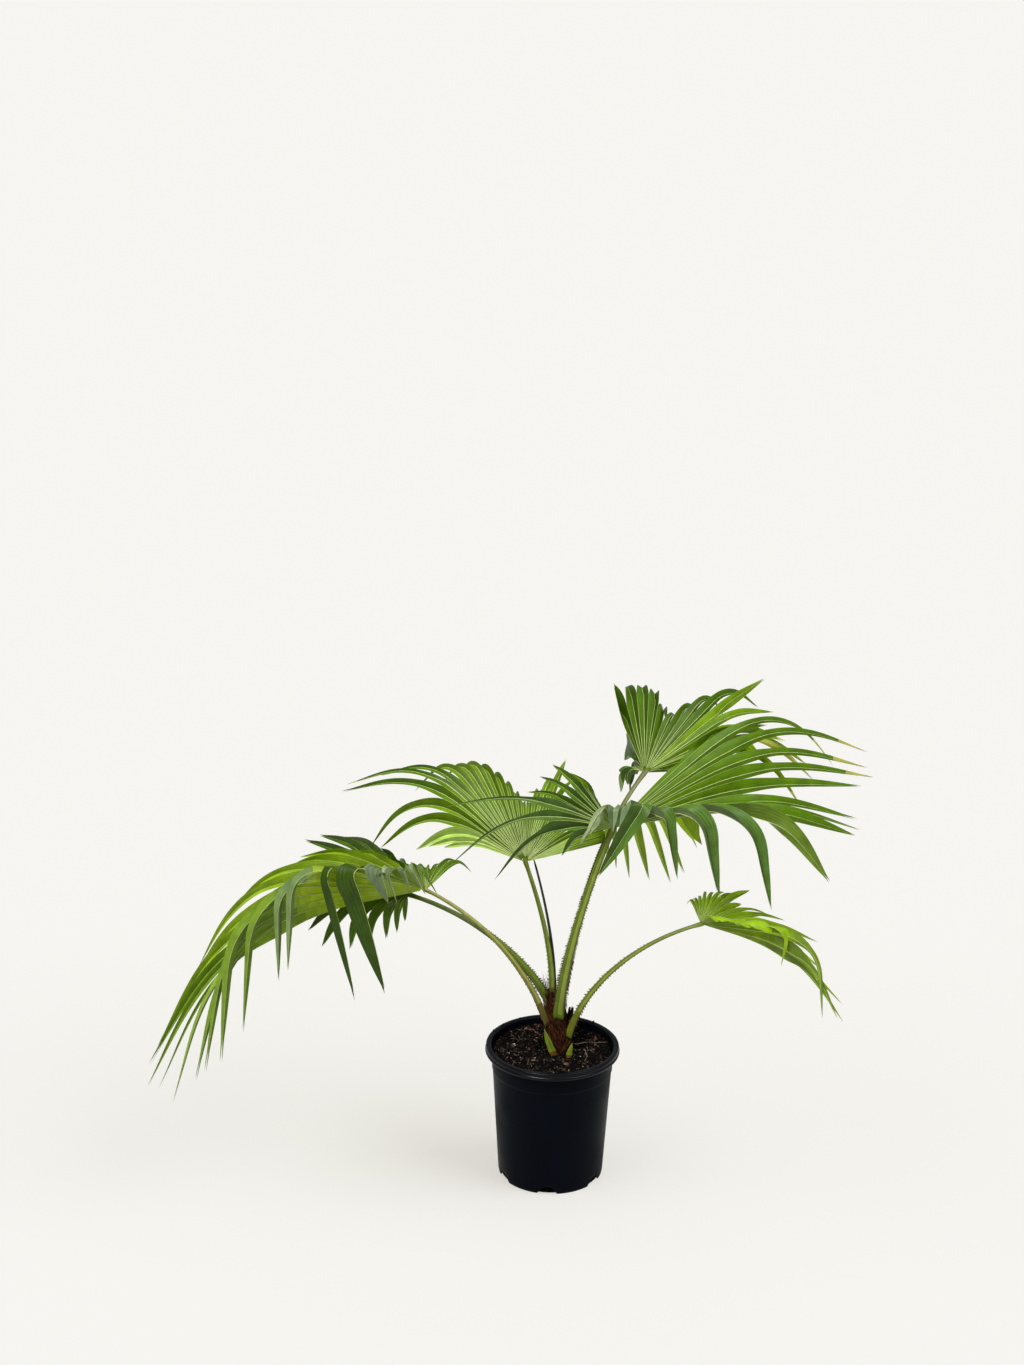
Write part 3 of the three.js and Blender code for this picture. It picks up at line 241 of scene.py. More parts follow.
# Fronds: aim is the heading and pitch of the middle ray, fan the turn of the outermost edges, and count
# the segments on each side. crowd above 1 packs those of a side towards the middle ray.
# Each guide row is [turn, reach, web, fold, droop, start, end, sway, breadth]: the segment's length, the
# share of it that is joined to its neighbours, the rise of that side, how far it falls towards straight
# down, where along it the fall starts and ends, the slant of the fall, and its breadth once it is free.
# Each tint row is (from this turn, web, leaflet, fading share, dry share).
FRONDS = {
    "left_front": {
        "tints": [
            (-180, "mid", "mid", 0.05, 0.02),
            (-60, "sunny", "sunny", 0.03, 0.02),
            (-8, "sunny", "leafy", 0.02, 0.025),
            (2.5, "bright", "leafy", 0.02, 0.02),
            (6, "bright", "mid", 0.03, 0.02),
            (25, "bright", "teal", 0.05, 0.02),
            (38, "fresh", "deep", 0.05, 0.015),
            (50, "fresh", "grey", 0.1, 0.02),
            (80, "mid", "teal", 0.08, 0.02),
        ],
        "ribs": ("green", "green"),
        "aim": [188, -8], "fan": [-140, 86], "count": [17, 15], "crowd": [1.35, 1.35], "seed": 1,
        "guides": [
            [-140, 132, 0.5, 25, 0.7, 0.3, 0.9, 0, 0.6],
            [-126, 118, 0.5, 28, 0.5, 0.3, 0.9, 0, 0.6],
            [-112, 66, 0.5, 30, 0.4, 0.3, 0.9, 0, 0.7],
            [-70, 80, 0.5, 28, 0.3, 0.3, 0.9, 0, 0.8],
            [-45, 250, 0.5, 30, 0.36, 0.25, 0.9, 0, 0.7],
            [-31, 378, 0.48, 29, 0.65, 0.25, 0.95, 0, 0.55],
            [-23, 430, 0.46, 28, 0.72, 0.22, 0.95, 0, 0.55],
            [-12, 495, 0.45, 28, 0.7, 0.12, 0.9, 0, 0.6],
            [-5, 556, 0.45, 14, 0.67, 0.1, 0.9, 0, 0.8],
            [0, 560, 0.45, 0, 0.7, 0.1, 0.9, 0, 0.85],
            [2, 555, 0.45, 35, 0.73, 0.1, 0.9, 0, 0.8],
            [4, 520, 0.42, 48, 0.82, 0.12, 0.86, 0, 0.75],
            [8, 502, 0.42, 53, 0.86, 0.18, 0.84, 0, 0.7],
            [12, 492, 0.42, 56, 0.9, 0.22, 0.81, 0, 0.7],
            [17, 490, 0.42, 58, 0.96, 0.28, 0.75, 2, 0.75],
            [22, 496, 0.42, 60, 0.98, 0.32, 0.73, 3, 0.8],
            [28, 356, 0.48, 60, 1, 0.42, 0.72, 0, 0.8],
            [34, 345, 0.5, 60, 1, 0.45, 0.7, 2, 0.8],
            [40, 402, 0.43, 60, 1, 0.36, 0.54, -13, 1],
            [46, 368, 0.42, 60, 1, 0.33, 0.5, -17, 1],
            [52, 165, 0.6, 60, 1, 0.5, 0.72, -24, 0.6],
            [60, 145, 0.6, 60, 1, 0.52, 0.75, -18, 0.55],
            [67, 118, 0.66, 60, 1, 0.52, 0.75, -20, 0.55],
            [75, 146, 0.56, 58, 1, 0.5, 0.75, -28, 0.6],
            [86, 150, 0.5, 56, 1, 0.42, 0.75, -28, 0.6],
        ],
    },
    "left_rear": {
        "tints": [
            (-180, "deep", "deep", 0.05, 0.03),
            (20, "mid", "mid", 0.05, 0.02),
        ],
        "ribs": ("green", "dull"),
        "aim": [165, 0], "fan": [-110, 110], "count": [13, 7], "crowd": [1.1, 1.1], "seed": 2,
        "guides": [
            [-110, 100, 0.5, 25, 0.5, 0.2, 0.9, 0, 0.8],
            [-78, 120, 0.5, 16, 0.4, 0.3, 0.9, 0, 0.8],
            [-62, 150, 0.5, 16, 0.3, 0.25, 0.9, 0, 0.8],
            [-52, 285, 0.5, 15, 0.3, 0.2, 0.9, 0, 0.8],
            [-34, 254, 0.5, 20, 0.2, 0.2, 0.9, 0, 0.8],
            [-24, 205, 0.5, 18, 0.25, 0.2, 0.9, 0, 0.8],
            [-8, 195, 0.5, 0, 0.4, 0.1, 0.9, 0, 0.8],
            [10, 183, 0.5, 0, 0.6, 0.1, 0.9, 0, 0.8],
            [35, 135, 0.5, 0, 0.9, 0.1, 0.9, 0, 0.8],
            [66, 92, 0.5, 0, 1, 0.1, 0.8, 0, 0.8],
            [110, 42, 0.5, 0, 1, 0.1, 0.8, 0, 0.8],
        ],
    },
    "centre": {
        "tints": [
            (-180, "pale", "fresh", 0.04, 0.01),
            (-58, "leafy", "leafy", 0.04, 0.01),
            (38, "leafy", "mid", 0.08, 0.03),
            (51, "leafy", "leafy", 0.05, 0.02),
            (60, "pale", "pale", 0.05, 0.01),
        ],
        "ribs": ("pale", "pale"),
        "aim": [90, 45], "fan": [-76, 74], "count": [14, 16], "crowd": [1, 1], "seed": 3,
        "guides": [
            [-76, 138, 0.85, 4, 0, 0.3, 0.9, 0, 1],
            [-60, 142, 0.8, 3, 0.1, 0.4, 0.9, 0, 1],
            [-50, 126, 0.55, 0, 0.4, 0.4, 0.9, 0, 0.75],
            [-32, 140, 0.55, 0, 0.4, 0.5, 0.9, 0, 0.75],
            [-19, 192, 0.65, 0, 0.05, 0.6, 1, 0, 1],
            [-12, 208, 0.6, 0, 0.7, 0.5, 0.8, 0, 0.9],
            [0, 190, 0.45, 0, 0.9, 0.35, 0.8, 0, 0.9],
            [15, 240, 0.55, 0, 0.9, 0.5, 0.8, 0, 0.9],
            [24, 292, 0.58, 0, 0.85, 0.54, 0.85, 0, 0.9],
            [34, 292, 0.56, 4, 0.7, 0.5, 0.85, 0, 0.8],
            [40, 318, 0.5, 8, 0.48, 0.3, 0.9, 0, 0.6],
            [44, 385, 0.45, 10, 0.5, 0.25, 0.9, 0, 0.6],
            [49, 362, 0.45, 10, 0.46, 0.22, 0.9, 0, 0.65],
            [54, 325, 0.45, 7, 0.8, 0.25, 0.95, 0, 0.7],
            [58, 246, 0.5, 9, 0.62, 0.25, 0.9, 0, 0.75],
            [63, 192, 0.6, 9, 0.55, 0.25, 0.9, 0, 0.95],
            [67, 150, 0.7, 8, 0.4, 0.3, 0.9, 0, 1],
            [74, 120, 0.8, 8, 0.3, 0.4, 1, 0, 1],
        ],
    },
    "right_front": {
        "tints": [
            (-180, "mid", "grey", 0.06, 0.02),
            (-65, "mid", "teal", 0.05, 0.03),
            (-19, "mid", "mid", 0.05, 0.04),
            (12, "mid", "mid", 0.22, 0.06),
            (35, "mid", "mid", 0.05, 0.02),
            (43, "bright", "lime", 0.05, 0.02),
            (100, "deep", "mid", 0.05, 0.02),
            (135, "deep", "teal", 0.05, 0.02),
        ],
        "ribs": ("pale", "green"),
        "aim": [6, 12], "fan": [-170, 172], "count": [14, 24], "crowd": [1.15, 1.3], "seed": 4,
        "guides": [
            [-170, 60, 0.5, 50, 0.6, 0.3, 0.8, 0, 0.8],
            [-110, 62, 0.6, 55, 0.7, 0.4, 0.8, 0, 0.8],
            [-96, 125, 0.5, 60, 1, 0.4, 0.7, -25, 0.6],
            [-83, 98, 0.6, 62, 1, 0.45, 0.75, 0, 1],
            [-70, 104, 0.6, 60, 1, 0.45, 0.75, -12, 1],
            [-64, 150, 0.5, 55, 1, 0.4, 0.7, -30, 1],
            [-58, 240, 0.4, 50, 1, 0.3, 0.55, -30, 0.8],
            [-46, 208, 0.45, 42, 1, 0.3, 0.6, 8, 0.85],
            [-35, 276, 0.45, 36, 1, 0.3, 0.7, 8, 0.95],
            [-24, 346, 0.45, 33, 0.97, 0.3, 0.78, 6, 0.95],
            [-13, 368, 0.5, 26, 0.68, 0.3, 0.9, 0, 1],
            [-4, 385, 0.5, 4, 0.32, 0.2, 0.9, 0, 0.9],
            [4, 380, 0.5, 0, 0.33, 0.2, 0.9, 0, 0.9],
            [10, 402, 0.5, 32, 0.22, 0.2, 0.9, 0, 0.7],
            [16, 442, 0.48, 38, 0.37, 0.25, 0.9, 0, 0.6],
            [24, 458, 0.46, 37, 0.4, 0.28, 0.9, 0, 0.55],
            [31, 488, 0.45, 34, 0.7, 0.35, 0.98, 0, 0.5],
            [40, 322, 0.55, 30, 0.2, 0.4, 0.9, 0, 0.8],
            [44.5, 215, 0.48, 6, 1, 0.22, 0.7, 22, 0.8],
            [47, 250, 0.45, 0, 1, 0.25, 0.7, 22, 0.8],
            [62, 225, 0.45, -5, 1, 0.2, 0.65, 18, 0.8],
            [76, 150, 0.4, 0, 1, 0.15, 0.6, 6, 0.8],
            [90, 115, 0.4, 0, 1, 0.15, 0.6, 0, 0.8],
            [100, 105, 0.5, 30, 0.6, 0.3, 0.9, 0, 0.7],
            [108, 145, 0.6, 45, 0.1, 0.5, 1, 0, 0.9],
            [130, 140, 0.55, 35, 0.3, 0.5, 1, 0, 0.6],
            [138, 258, 0.35, 42, 0.28, 0.1, 0.9, 0, 0.4],
            [148, 288, 0.33, 42, 0.55, 0.05, 0.9, 0, 0.35],
            [157, 240, 0.35, 40, 0.63, 0.05, 0.9, 0, 0.35],
            [164, 105, 0.45, 35, 0.7, 0.1, 0.9, 0, 0.6],
            [172, 80, 0.5, 35, 0.7, 0.1, 0.9, 0, 0.8],
        ],
    },
    "right_rear": {
        "tints": [
            (-180, "mid", "fresh", 0.2, 0.05),
            (-55, "mid", "olive", 0.25, 0.05),
            (-50, "mid", "fresh", 0.1, 0.03),
            (-28, "fresh", "fresh", 0.03, 0.01),
            (-21, "shaded", "shaded", 0.05, 0.01),
            (45, "teal", "teal", 0.05, 0.01),
        ],
        "ribs": ("pale", "green"),
        "aim": [60, 35], "fan": [-68, 100], "count": [10, 14], "crowd": [1, 1], "seed": 5,
        "guides": [
            [-68, 60, 0.5, 10, 0.5, 0.2, 0.8, 0, 0.8],
            [-62, 150, 0.5, 8, 0.5, 0.3, 0.9, 0, 0.5],
            [-57, 350, 0.45, 8, 0.75, 0.3, 0.9, 0, 0.35],
            [-51, 300, 0.5, 5, 0.6, 0.3, 0.9, 0, 0.5],
            [-41, 262, 0.5, -11, 0.5, 0.35, 0.9, 0, 0.6],
            [-31, 240, 0.55, 0, 0.35, 0.5, 0.9, 0, 0.8],
            [-24, 250, 0.6, -7, 0.05, 0.4, 0.9, 0, 1],
            [-17, 262, 0.5, 0, 0.6, 0.5, 0.9, 0, 0.75],
            [-8, 240, 0.5, 0, 0.75, 0.5, 0.85, 0, 0.75],
            [4, 165, 0.5, 0, 0.8, 0.45, 0.85, 0, 0.75],
            [14, 176, 0.72, 0, 0.8, 0.7, 0.95, 0, 0.9],
            [24, 208, 0.74, 0, 0.8, 0.74, 1, 0, 0.9],
            [32, 217, 0.72, 0, 0.5, 0.76, 1, 0, 0.9],
            [40, 194, 0.6, 0, 0, 0.6, 1, 0, 1],
            [47, 95, 0.6, -15, 0.8, 0.3, 0.9, 0, 0.9],
            [54, 50, 0.6, -20, 0.8, 0.3, 0.9, 0, 0.9],
            [61, 108, 0.5, -25, 1, 0.2, 0.8, 0, 1],
            [68, 50, 0.6, -20, 1, 0.2, 0.8, 0, 0.9],
            [75, 48, 0.6, -10, 1, 0.2, 0.8, 0, 0.9],
            [82, 88, 0.6, 10, 1, 0.2, 0.8, 0, 1],
            [89, 48, 0.6, 20, 1, 0.2, 0.8, 0, 0.9],
            [100, 45, 0.6, 30, 1, 0.2, 0.8, 0, 0.9],
        ],
    },
    "right_low": {
        "tints": [
            (-180, "lime", "lime", 0.05, 0.02),
            (-20, "lime", "leafy", 0.08, 0.03),
            (0, "lime", "sunny", 0.1, 0.04),
            (45, "lime", "lime", 0.05, 0.02),
        ],
        "ribs": ("green", "green"),
        "aim": [-3, -13], "fan": [-80, 125], "count": [11, 14], "crowd": [1, 1], "seed": 6,
        "guides": [
            [-80, 40, 0.85, 60, 0.5, 0.4, 0.9, 0, 1],
            [-45, 70, 0.85, 60, 0.4, 0.4, 0.9, 0, 1],
            [-33, 110, 0.8, 60, 0.5, 0.5, 0.9, 0, 0.8],
            [-25, 192, 0.6, 60, 1, 0.5, 0.85, -14, 0.4],
            [-18, 284, 0.48, 56, 0.9, 0.33, 0.82, -4, 0.36],
            [-11, 272, 0.5, 44, 0.7, 0.2, 0.88, 0, 0.36],
            [-4, 268, 0.5, 20, 0.58, 0.1, 0.9, 0, 0.36],
            [4, 258, 0.5, 12, 0.46, 0.05, 0.9, 0, 0.38],
            [13, 206, 0.5, 25, 0.44, 0.12, 0.9, 0, 0.38],
            [22, 200, 0.5, 30, 0.33, 0.2, 0.9, 0, 0.5],
            [31, 140, 0.5, 32, 0.3, 0.3, 0.9, 0, 0.5],
            [40, 136, 0.5, 34, 0.42, 0.3, 0.9, 0, 0.4],
            [49, 70, 0.7, 38, 0.25, 0.3, 0.9, 0, 0.8],
            [58, 112, 0.6, 42, 0.25, 0.4, 0.9, 0, 1],
            [67, 85, 0.6, 45, 0.4, 0.4, 0.9, 0, 0.8],
            [95, 62, 0.6, 45, 0.6, 0.6, 1, 0, 0.8],
            [125, 55, 0.6, 50, 0.8, 0.5, 0.9, 0, 0.8],
        ],
    },
}

SPEAR = {"path": [[2, 12, 280], [2.5, 22, 350], [-10, 52, 410], [-34, 84, 484]], "radii": [3, 1.5]}
STUBS = {
    "leaf_base_left": {
        "path": [[5, -21, 199], [-1, -23, 212], [-8, -22, 228], [-13, -16, 243]],
        "radii": [5.8, 3.6],
    },
    "leaf_base_right": {
        "path": [[24, -28, 202], [24, -28, 211], [27, -28, 218], [29, -25, 226]],
        "radii": [5.5, 2],
    },
    "fibre_tuft": {"path": [[20, 2, 236], [24, 2, 246], [27, 1, 256], [27, 0, 270]]},
}


# ---------------------------------------------------------------- small tools

TINY = 1e-6  # what is shorter than this has no length
HASH = (12.9898, 78.233, 43758.5453)
RIPPLES = {"waves": 6, "sizes": (0.7, 1.6), "level": 3}


def unit(vectors):
    return vectors / np.linalg.norm(vectors, axis=-1, keepdims=True)


def mix(a, b, share):
    return a + (b - a) * share


def smooth(share):
    x = np.clip(share, 0, 1)
    return x * x * (3 - 2 * x)


def rotate(vectors, axis, angle):
    """vectors turned about the unit axis, each by its own angle in radians."""
    angle = np.asarray(angle)[..., None]
    across = np.cross(axis, vectors)
    along = axis * np.sum(axis * vectors, axis=-1, keepdims=True)
    return vectors * np.cos(angle) + across * np.sin(angle) + along * (1 - np.cos(angle))


def scatter(i, seed):
    """A repeatable number from 0 to 1 for the i-th segment of a frond."""
    wave = math.sin(i * HASH[0] + seed * HASH[1]) * HASH[2]
    return wave - math.floor(wave)


def ripple(places, size, seed):
    """A smooth bumpy field from about -1 to 1 over places, with bumps about size across."""
    dice = np.random.default_rng(seed)
    total = 0
    for _ in range(RIPPLES["waves"]):
        way = unit(dice.normal(size=3)) * TURN / (size * dice.uniform(*RIPPLES["sizes"]))
        total = total + np.sin(places @ way + dice.uniform(0, TURN))
    return total / RIPPLES["level"]


def bezier(path, t):
    """Places and directions along a cubic curve at shares t of it."""
    a, b, c, d = (np.array(place, float) for place in path)
    t = np.asarray(t, float)[:, None]
    places = a * (1 - t) ** 3 + 3 * b * t * (1 - t) ** 2 + 3 * c * t**2 * (1 - t) + d * t**3
    ways = 3 * (b - a) * (1 - t) ** 2 + 6 * (c - b) * t * (1 - t) + 3 * (d - c) * t**2
    return places, unit(ways)


def frames_along(places, facing=(0, 0, 1.0)):
    """Directions to the side of a line of places and up from it, with up towards facing."""
    along = unit(np.gradient(places, axis=0))
    side = np.cross(facing, along)
    short = np.linalg.norm(side, axis=1) < TINY
    side[short] = [0, 1.0, 0]
    side = unit(side)
    return side, np.cross(along, side)


# ---------------------------------------------------------------- meshes


class Patchwork:
    """Gathers the sheets, tubes and crumbs of one piece, each face with its finish's number."""

    def __init__(self):
        self.points, self.faces, self.finishes, self.places = [], [], [], []
        self.count = 0

    def sheet(self, points, finish=0, places=None, around=False):
        """A grid of rows and columns of points. around joins the last column to the first.

        finish is one number, one for each row of faces, or one for each face.
        """
        rows, columns = points.shape[:2]
        if places is None:
            u, v = np.meshgrid(np.linspace(0, 1, columns), np.linspace(0, 1, rows))
            places = np.dstack([u, v])
        if around:
            points = np.concatenate([points, points[:, :1]], axis=1)
            places = np.concatenate([places, places[:, :1] + [1, 0]], axis=1)
            columns += 1
        index = self.count + np.arange(rows * columns).reshape(rows, columns)
        corners = [index[:-1, :-1], index[:-1, 1:], index[1:, 1:], index[1:, :-1]]
        self.faces.append(np.stack(corners, axis=-1).reshape(-1, 4))
        finish = np.asarray(finish)
        finish = finish[:, None] if finish.ndim == 1 else finish
        self.finishes.append(np.broadcast_to(finish, (rows - 1, columns - 1)).ravel())
        self.add_points(points.reshape(-1, 3), places.reshape(-1, 2))

    def solid(self, points, faces):
        """A closed body of points and faces of four corners."""
        self.faces.append(self.count + np.asarray(faces))
        self.finishes.append(np.zeros(len(faces), int))
        self.add_points(points, np.zeros((len(points), 2)))

    def add_points(self, points, places):
        self.points.append(points)
        self.places.append(places)
        self.count += len(points)

    def tube(self, path, radii, sides=0, finish=0, section=None, length=1.0, facing=(0, 0, 1.0)):
        """A tube along a line of places, closed at both ends. It has round sides, or a section."""
        path = np.asarray(path, float)
        side, up = frames_along(path, facing)
        if section is None:
            angles = (np.arange(sides) + 0.5) * TURN / sides
            section = np.cos(angles), np.sin(angles)
        wide, high = section
        radii = np.broadcast_to(np.asarray(radii, float), len(path))[:, None, None]
        rings = path[:, None] + radii * (side[:, None] * wide[:, None] + up[:, None] * high[:, None])
        run = np.linspace(0, length, len(path))
        u = np.arange(len(wide)) / len(wide)
        places = np.dstack(np.meshgrid(u, run))
        first, last = (path[end, None, None].repeat(len(wide), 1) for end in (0, -1))
        rings = np.concatenate([first, rings, last])
        places = np.concatenate([places[:1], places, places[-1:]])
        finish = np.asarray(finish)
        if finish.ndim:
            finish = np.concatenate([finish[:1], finish, finish[-1:]])
        self.sheet(rings, finish, places, around=True)

    def build(self, name, slot, finishes, nodes=(), closed=False, smooth_faces=True):
        """The piece as one object that rides on the plant. nodes are the solids that it stands for."""
        points = np.concatenate(self.points) * MM
        faces = np.concatenate(self.faces)
        places = np.concatenate(self.places)
        mesh = bpy.data.meshes.new(name)
        mesh.from_pydata(points.tolist(), [], [list(dict.fromkeys(face)) for face in faces.tolist()])
        mesh.polygons.foreach_set("material_index", np.concatenate(self.finishes).astype(np.int32))
        mesh.polygons.foreach_set("use_smooth", np.full(len(mesh.polygons), smooth_faces))
        corners = np.zeros(len(mesh.loops), np.int32)
        mesh.loops.foreach_get("vertex_index", corners)
        layer = mesh.uv_layers.new(name="Run")
        layer.data.foreach_set("uv", places[corners].astype(np.float32).ravel())
        for finish in finishes:
            mesh.materials.append(finish)
        if closed:
            clean(mesh)
        piece = bpy.data.objects.new(name, mesh)
        bpy.context.scene.collection.objects.link(piece)
        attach(piece, "root")
        if nodes:
            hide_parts(*nodes)


def clean(mesh):
    """Joins the doubled points of closed bodies and turns their faces outwards."""
    work = bmesh.new()
    work.from_mesh(mesh)
    bmesh.ops.remove_doubles(work, verts=work.verts, dist=TINY)
    bmesh.ops.recalc_face_normals(work, faces=work.faces)
    work.to_mesh(mesh)
    work.free()


# ---------------------------------------------------------------- the rule of the fronds


def blade_axes(aim):
    """The directions of a frond: ahead along its middle ray, across it, up from its face, and level."""
    heading, pitch = np.radians(aim)
    level = np.array([math.cos(heading), math.sin(heading), 0])
    ahead = level * math.cos(pitch) + np.array([0, 0, math.sin(pitch)])
    across = np.array([-math.sin(heading), math.cos(heading), 0])
    return {"ahead": ahead, "across": across, "up": np.cross(ahead, across), "level": level}


def guide_at(guides, turn):
    """The guide values at a turn, mixed from the two nearest rows."""
    rows = np.array(guides, float)
    names = ["reach", "web", "fold", "droop", "start", "end", "sway", "breadth"]
    return {name: np.interp(turn, rows[:, 0], rows[:, k + 1]) for k, name in enumerate(names)}


def start_direction(axes, turn, fold):
    """The direction in which a ray leaves the hub, at a turn of the fan."""
    t, f = math.radians(turn), math.radians(fold)
    sideways = axes["across"] * math.sin(t) * math.cos(f)
    return unit(axes["ahead"] * math.cos(t) + sideways + axes["up"] * abs(math.sin(t)) * math.sin(f))


class Ray:
    """One ray of a fan: its places, directions and face at shares of its length."""

    def __init__(self, frond, turn, reach=None):
        axes, guide = frond["axes"], guide_at(frond["guides"], turn)
        self.reach = guide["reach"] if reach is None else reach
        self.web = guide["web"]
        self.breadth = guide["breadth"]
        self.begin, self.end = guide["start"], guide["end"]
        self.start = start_direction(axes, turn, guide["fold"])
        sway = math.radians(guide["sway"])
        pull = np.array([0, 0, -math.cos(sway)]) + axes["level"] * math.sin(sway)
        self.hinge = unit(np.cross(self.start, pull))
        angle = math.acos(np.clip(self.start @ unit(pull), -1, 1))
        self.whole = angle * guide["droop"]
        before = start_direction(axes, turn - 1, guide["fold"])
        after = start_direction(axes, turn + 1, guide["fold"])
        self.face = unit(np.cross(self.start, after - before))
        steps = (np.arange(RAY_STEPS) + 0.5) / RAY_STEPS
        strides = self.ahead_at(steps) * self.reach / RAY_STEPS
        self.places = frond["hub"] + np.concatenate([np.zeros((1, 3)), np.cumsum(strides, axis=0)])

    def bend(self, t):
        return self.whole * smooth((np.asarray(t) - self.begin) / (self.end - self.begin))

    def ahead_at(self, t):
        return rotate(self.start, self.hinge, self.bend(t))

    def face_at(self, t):
        return rotate(self.face, self.hinge, self.bend(t))

    def at(self, t):
        shares = np.linspace(0, 1, RAY_STEPS + 1)
        return np.stack([np.interp(t, shares, self.places[:, axis]) for axis in range(3)], axis=-1)


def edge_turns(frond):
    """The turns of the lines between segments, from one edge of the fan to the other."""
    far, near = frond["count"]
    left = [frond["fan"][0] * ((far - i) / far) ** frond["crowd"][0] for i in range(far)]
    right = [frond["fan"][1] * (i / near) ** frond["crowd"][1] for i in range(near + 1)]
    return left + right


def turn_to_light(side, ahead):
    """The turn about a segment's own line that brings its face round to the light."""
    light = unit(np.array(LIGHT))
    flat = unit(side - ahead * (side @ ahead))
    turn = math.atan2(-(flat @ light), np.cross(ahead, flat) @ light)
    if turn > math.pi / 2:
        return turn - math.pi
    return turn + math.pi if turn < -math.pi / 2 else turn


def web_line(frond, turn, shares, drop=0.0):
    """Places along a line of the joined part of a fan, at shares of that part."""
    ray = Ray(frond, turn)
    t = ray.web * shares
    return ray, ray.at(t) - ray.face_at(t) * (drop * shares)[:, None]


def segment(frond, index, turns):
    """The lines of one segment from the hub to its tip: both edges, both sides of its fold, and its face.

    Past the split the two halves part into the prongs of its tip. free is how far each row lies along
    the free part, and 0 in the joined part.
    """
    dice = np.random.default_rng(SEEDS_APART["segments"] * frond["seed"] + index)
    turn = (turns[index] + turns[index + 1]) / 2
    shares = np.linspace(0, 1, WEB_ROWS + 1)
    shares[0] = HUB["clear"]
    _, left = web_line(frond, turns[index], shares)
    _, right = web_line(frond, turns[index + 1], shares)
    width = np.linalg.norm(right[-1] - left[-1])
    middle_ray, middle = web_line(frond, turn, shares, width * PLEAT)

    share = 1 + BLADE["uneven"] * (scatter(index, frond["seed"]) - 0.5)
    ray = Ray(frond, turn, middle_ray.reach * share)
    start = middle_ray.web / share
    across = unit(right[-1] - left[-1])
    rows = max(FEWEST_ROWS, round(ray.reach * (1 - start) / FREE_STEP))
    x = np.linspace(0, 1, rows + 1)[1:]
    t = mix(start, 1, x)
    breadth = mix(1, ray.breadth, smooth(x / BLADE["narrowing"]))
    half = width / 2 * breadth * (1 - x) * (1 + BLADE["open"] * x) + TIP_WIDTH
    to_light = BLADE["facing"] * turn_to_light(across, ray.ahead_at(start))
    size = dice.uniform(-WAVE["size"], WAVE["size"])
    bends = np.sin(x * dice.uniform(*WAVE["bends"]) + dice.uniform(0, 1))
    wave = size * bends * smooth(WAVE["growth"] * x)
    twist = to_light * smooth(x / BLADE["facing_by"]) + wave
    ahead = ray.ahead_at(t)
    side = np.stack([rotate(across, ray.hinge, ray.bend(k) - ray.bend(start)) for k in t])
    side = np.stack([rotate(s, a, w) for s, a, w in zip(side, ahead, twist)])
    face = np.stack([rotate(f, a, w) for f, a, w in zip(ray.face_at(t), ahead, twist)])
    centre = ray.at(t) + (left[-1] + right[-1]) / 2 - ray.at(start)
    centre += side * (dice.uniform(-1, 1) * LEAN * ray.reach * smooth(x) * x)[:, None]
    drop = 2 * half * PLEAT
    joint = middle[-1] - (left[-1] + right[-1]) / 2 + ray.face_at(start) * width * PLEAT
    fold = centre - face * drop[:, None] + joint * (1 - smooth(x / JOIN_BY))[:, None]

    split = dice.uniform(*SPLIT)
    y = np.clip((x - split) / (1 - split), 0, 1)
    prong = np.interp(split, x, half)
    aside, wide = prong * (0.5 + SPREAD * y), prong * 0.5 * (1 - y) ** PRONG_TAPER
    gap = np.where(x > split, aside - wide, 0)[:, None]
    outer = np.where(x > split, aside + wide, half)[:, None]
    lines = [centre - side * outer, fold - side * gap, fold + side * gap, centre + side * outer]
    web = [left, middle, middle, right]
    web_face = middle_ray.face_at(middle_ray.web * shares)
    return {
        "lines": [np.concatenate(pair) for pair in zip(web, lines)],
        "face": np.concatenate([web_face, face]),
        "free": np.concatenate([shares * 0, x]),
        "bent": np.concatenate([middle_ray.bend(middle_ray.web * shares), ray.bend(t)]) / ray.whole,
        "split": split,
        "turn": turn,
        "length": ray.reach,
    }


# ---------------------------------------------------------------- shader tools


def feed(tree, node, inputs):
    """Gives a node's inputs their values, or links other nodes' outputs to them. i0 is its first input."""
    for key, value in inputs.items():
        numbered = key[0] == "i" and key[1:].isdigit()
        socket = node.inputs[int(key[1:]) if numbered else key.replace("_", " ")]
        if isinstance(value, bpy.types.NodeSocket):
            tree.links.new(value, socket)
        else:
            socket.default_value = value


def add_node(tree, kind, settings=None, **inputs):
    """One shader node with its settings and its inputs."""
    made = tree.nodes.new("ShaderNode" + kind)
    for key, value in (settings or {}).items():
        setattr(made, key, value)
    feed(tree, made, inputs)
    return made


def maths(tree, operation, a, b=0.0):
    return add_node(tree, "Math", {"operation": operation}, i0=a, i1=b).outputs[0]


def blended(tree, share, a, b):
    """A colour mixed from two others."""
    return add_node(tree, "Mix", {"data_type": "RGBA"}, i0=share, i6=a, i7=b).outputs[2]


def brightened(tree, colour, level):
    return add_node(tree, "VectorMath", {"operation": "SCALE"}, i0=colour, Scale=level).outputs[0]


def ranged(tree, value, low, high, to_low=0.0, to_high=1.0):
    """value carried from one range to another, and held at its ends."""
    ends = {"From_Min": low, "From_Max": high, "To_Min": to_low, "To_Max": to_high}
    return add_node(tree, "MapRange", Value=value, **ends).outputs[0]


def noise(tree, places, scale, detail):
    return add_node(tree, "TexNoise", Vector=places, Scale=scale, Detail=detail).outputs["Fac"]


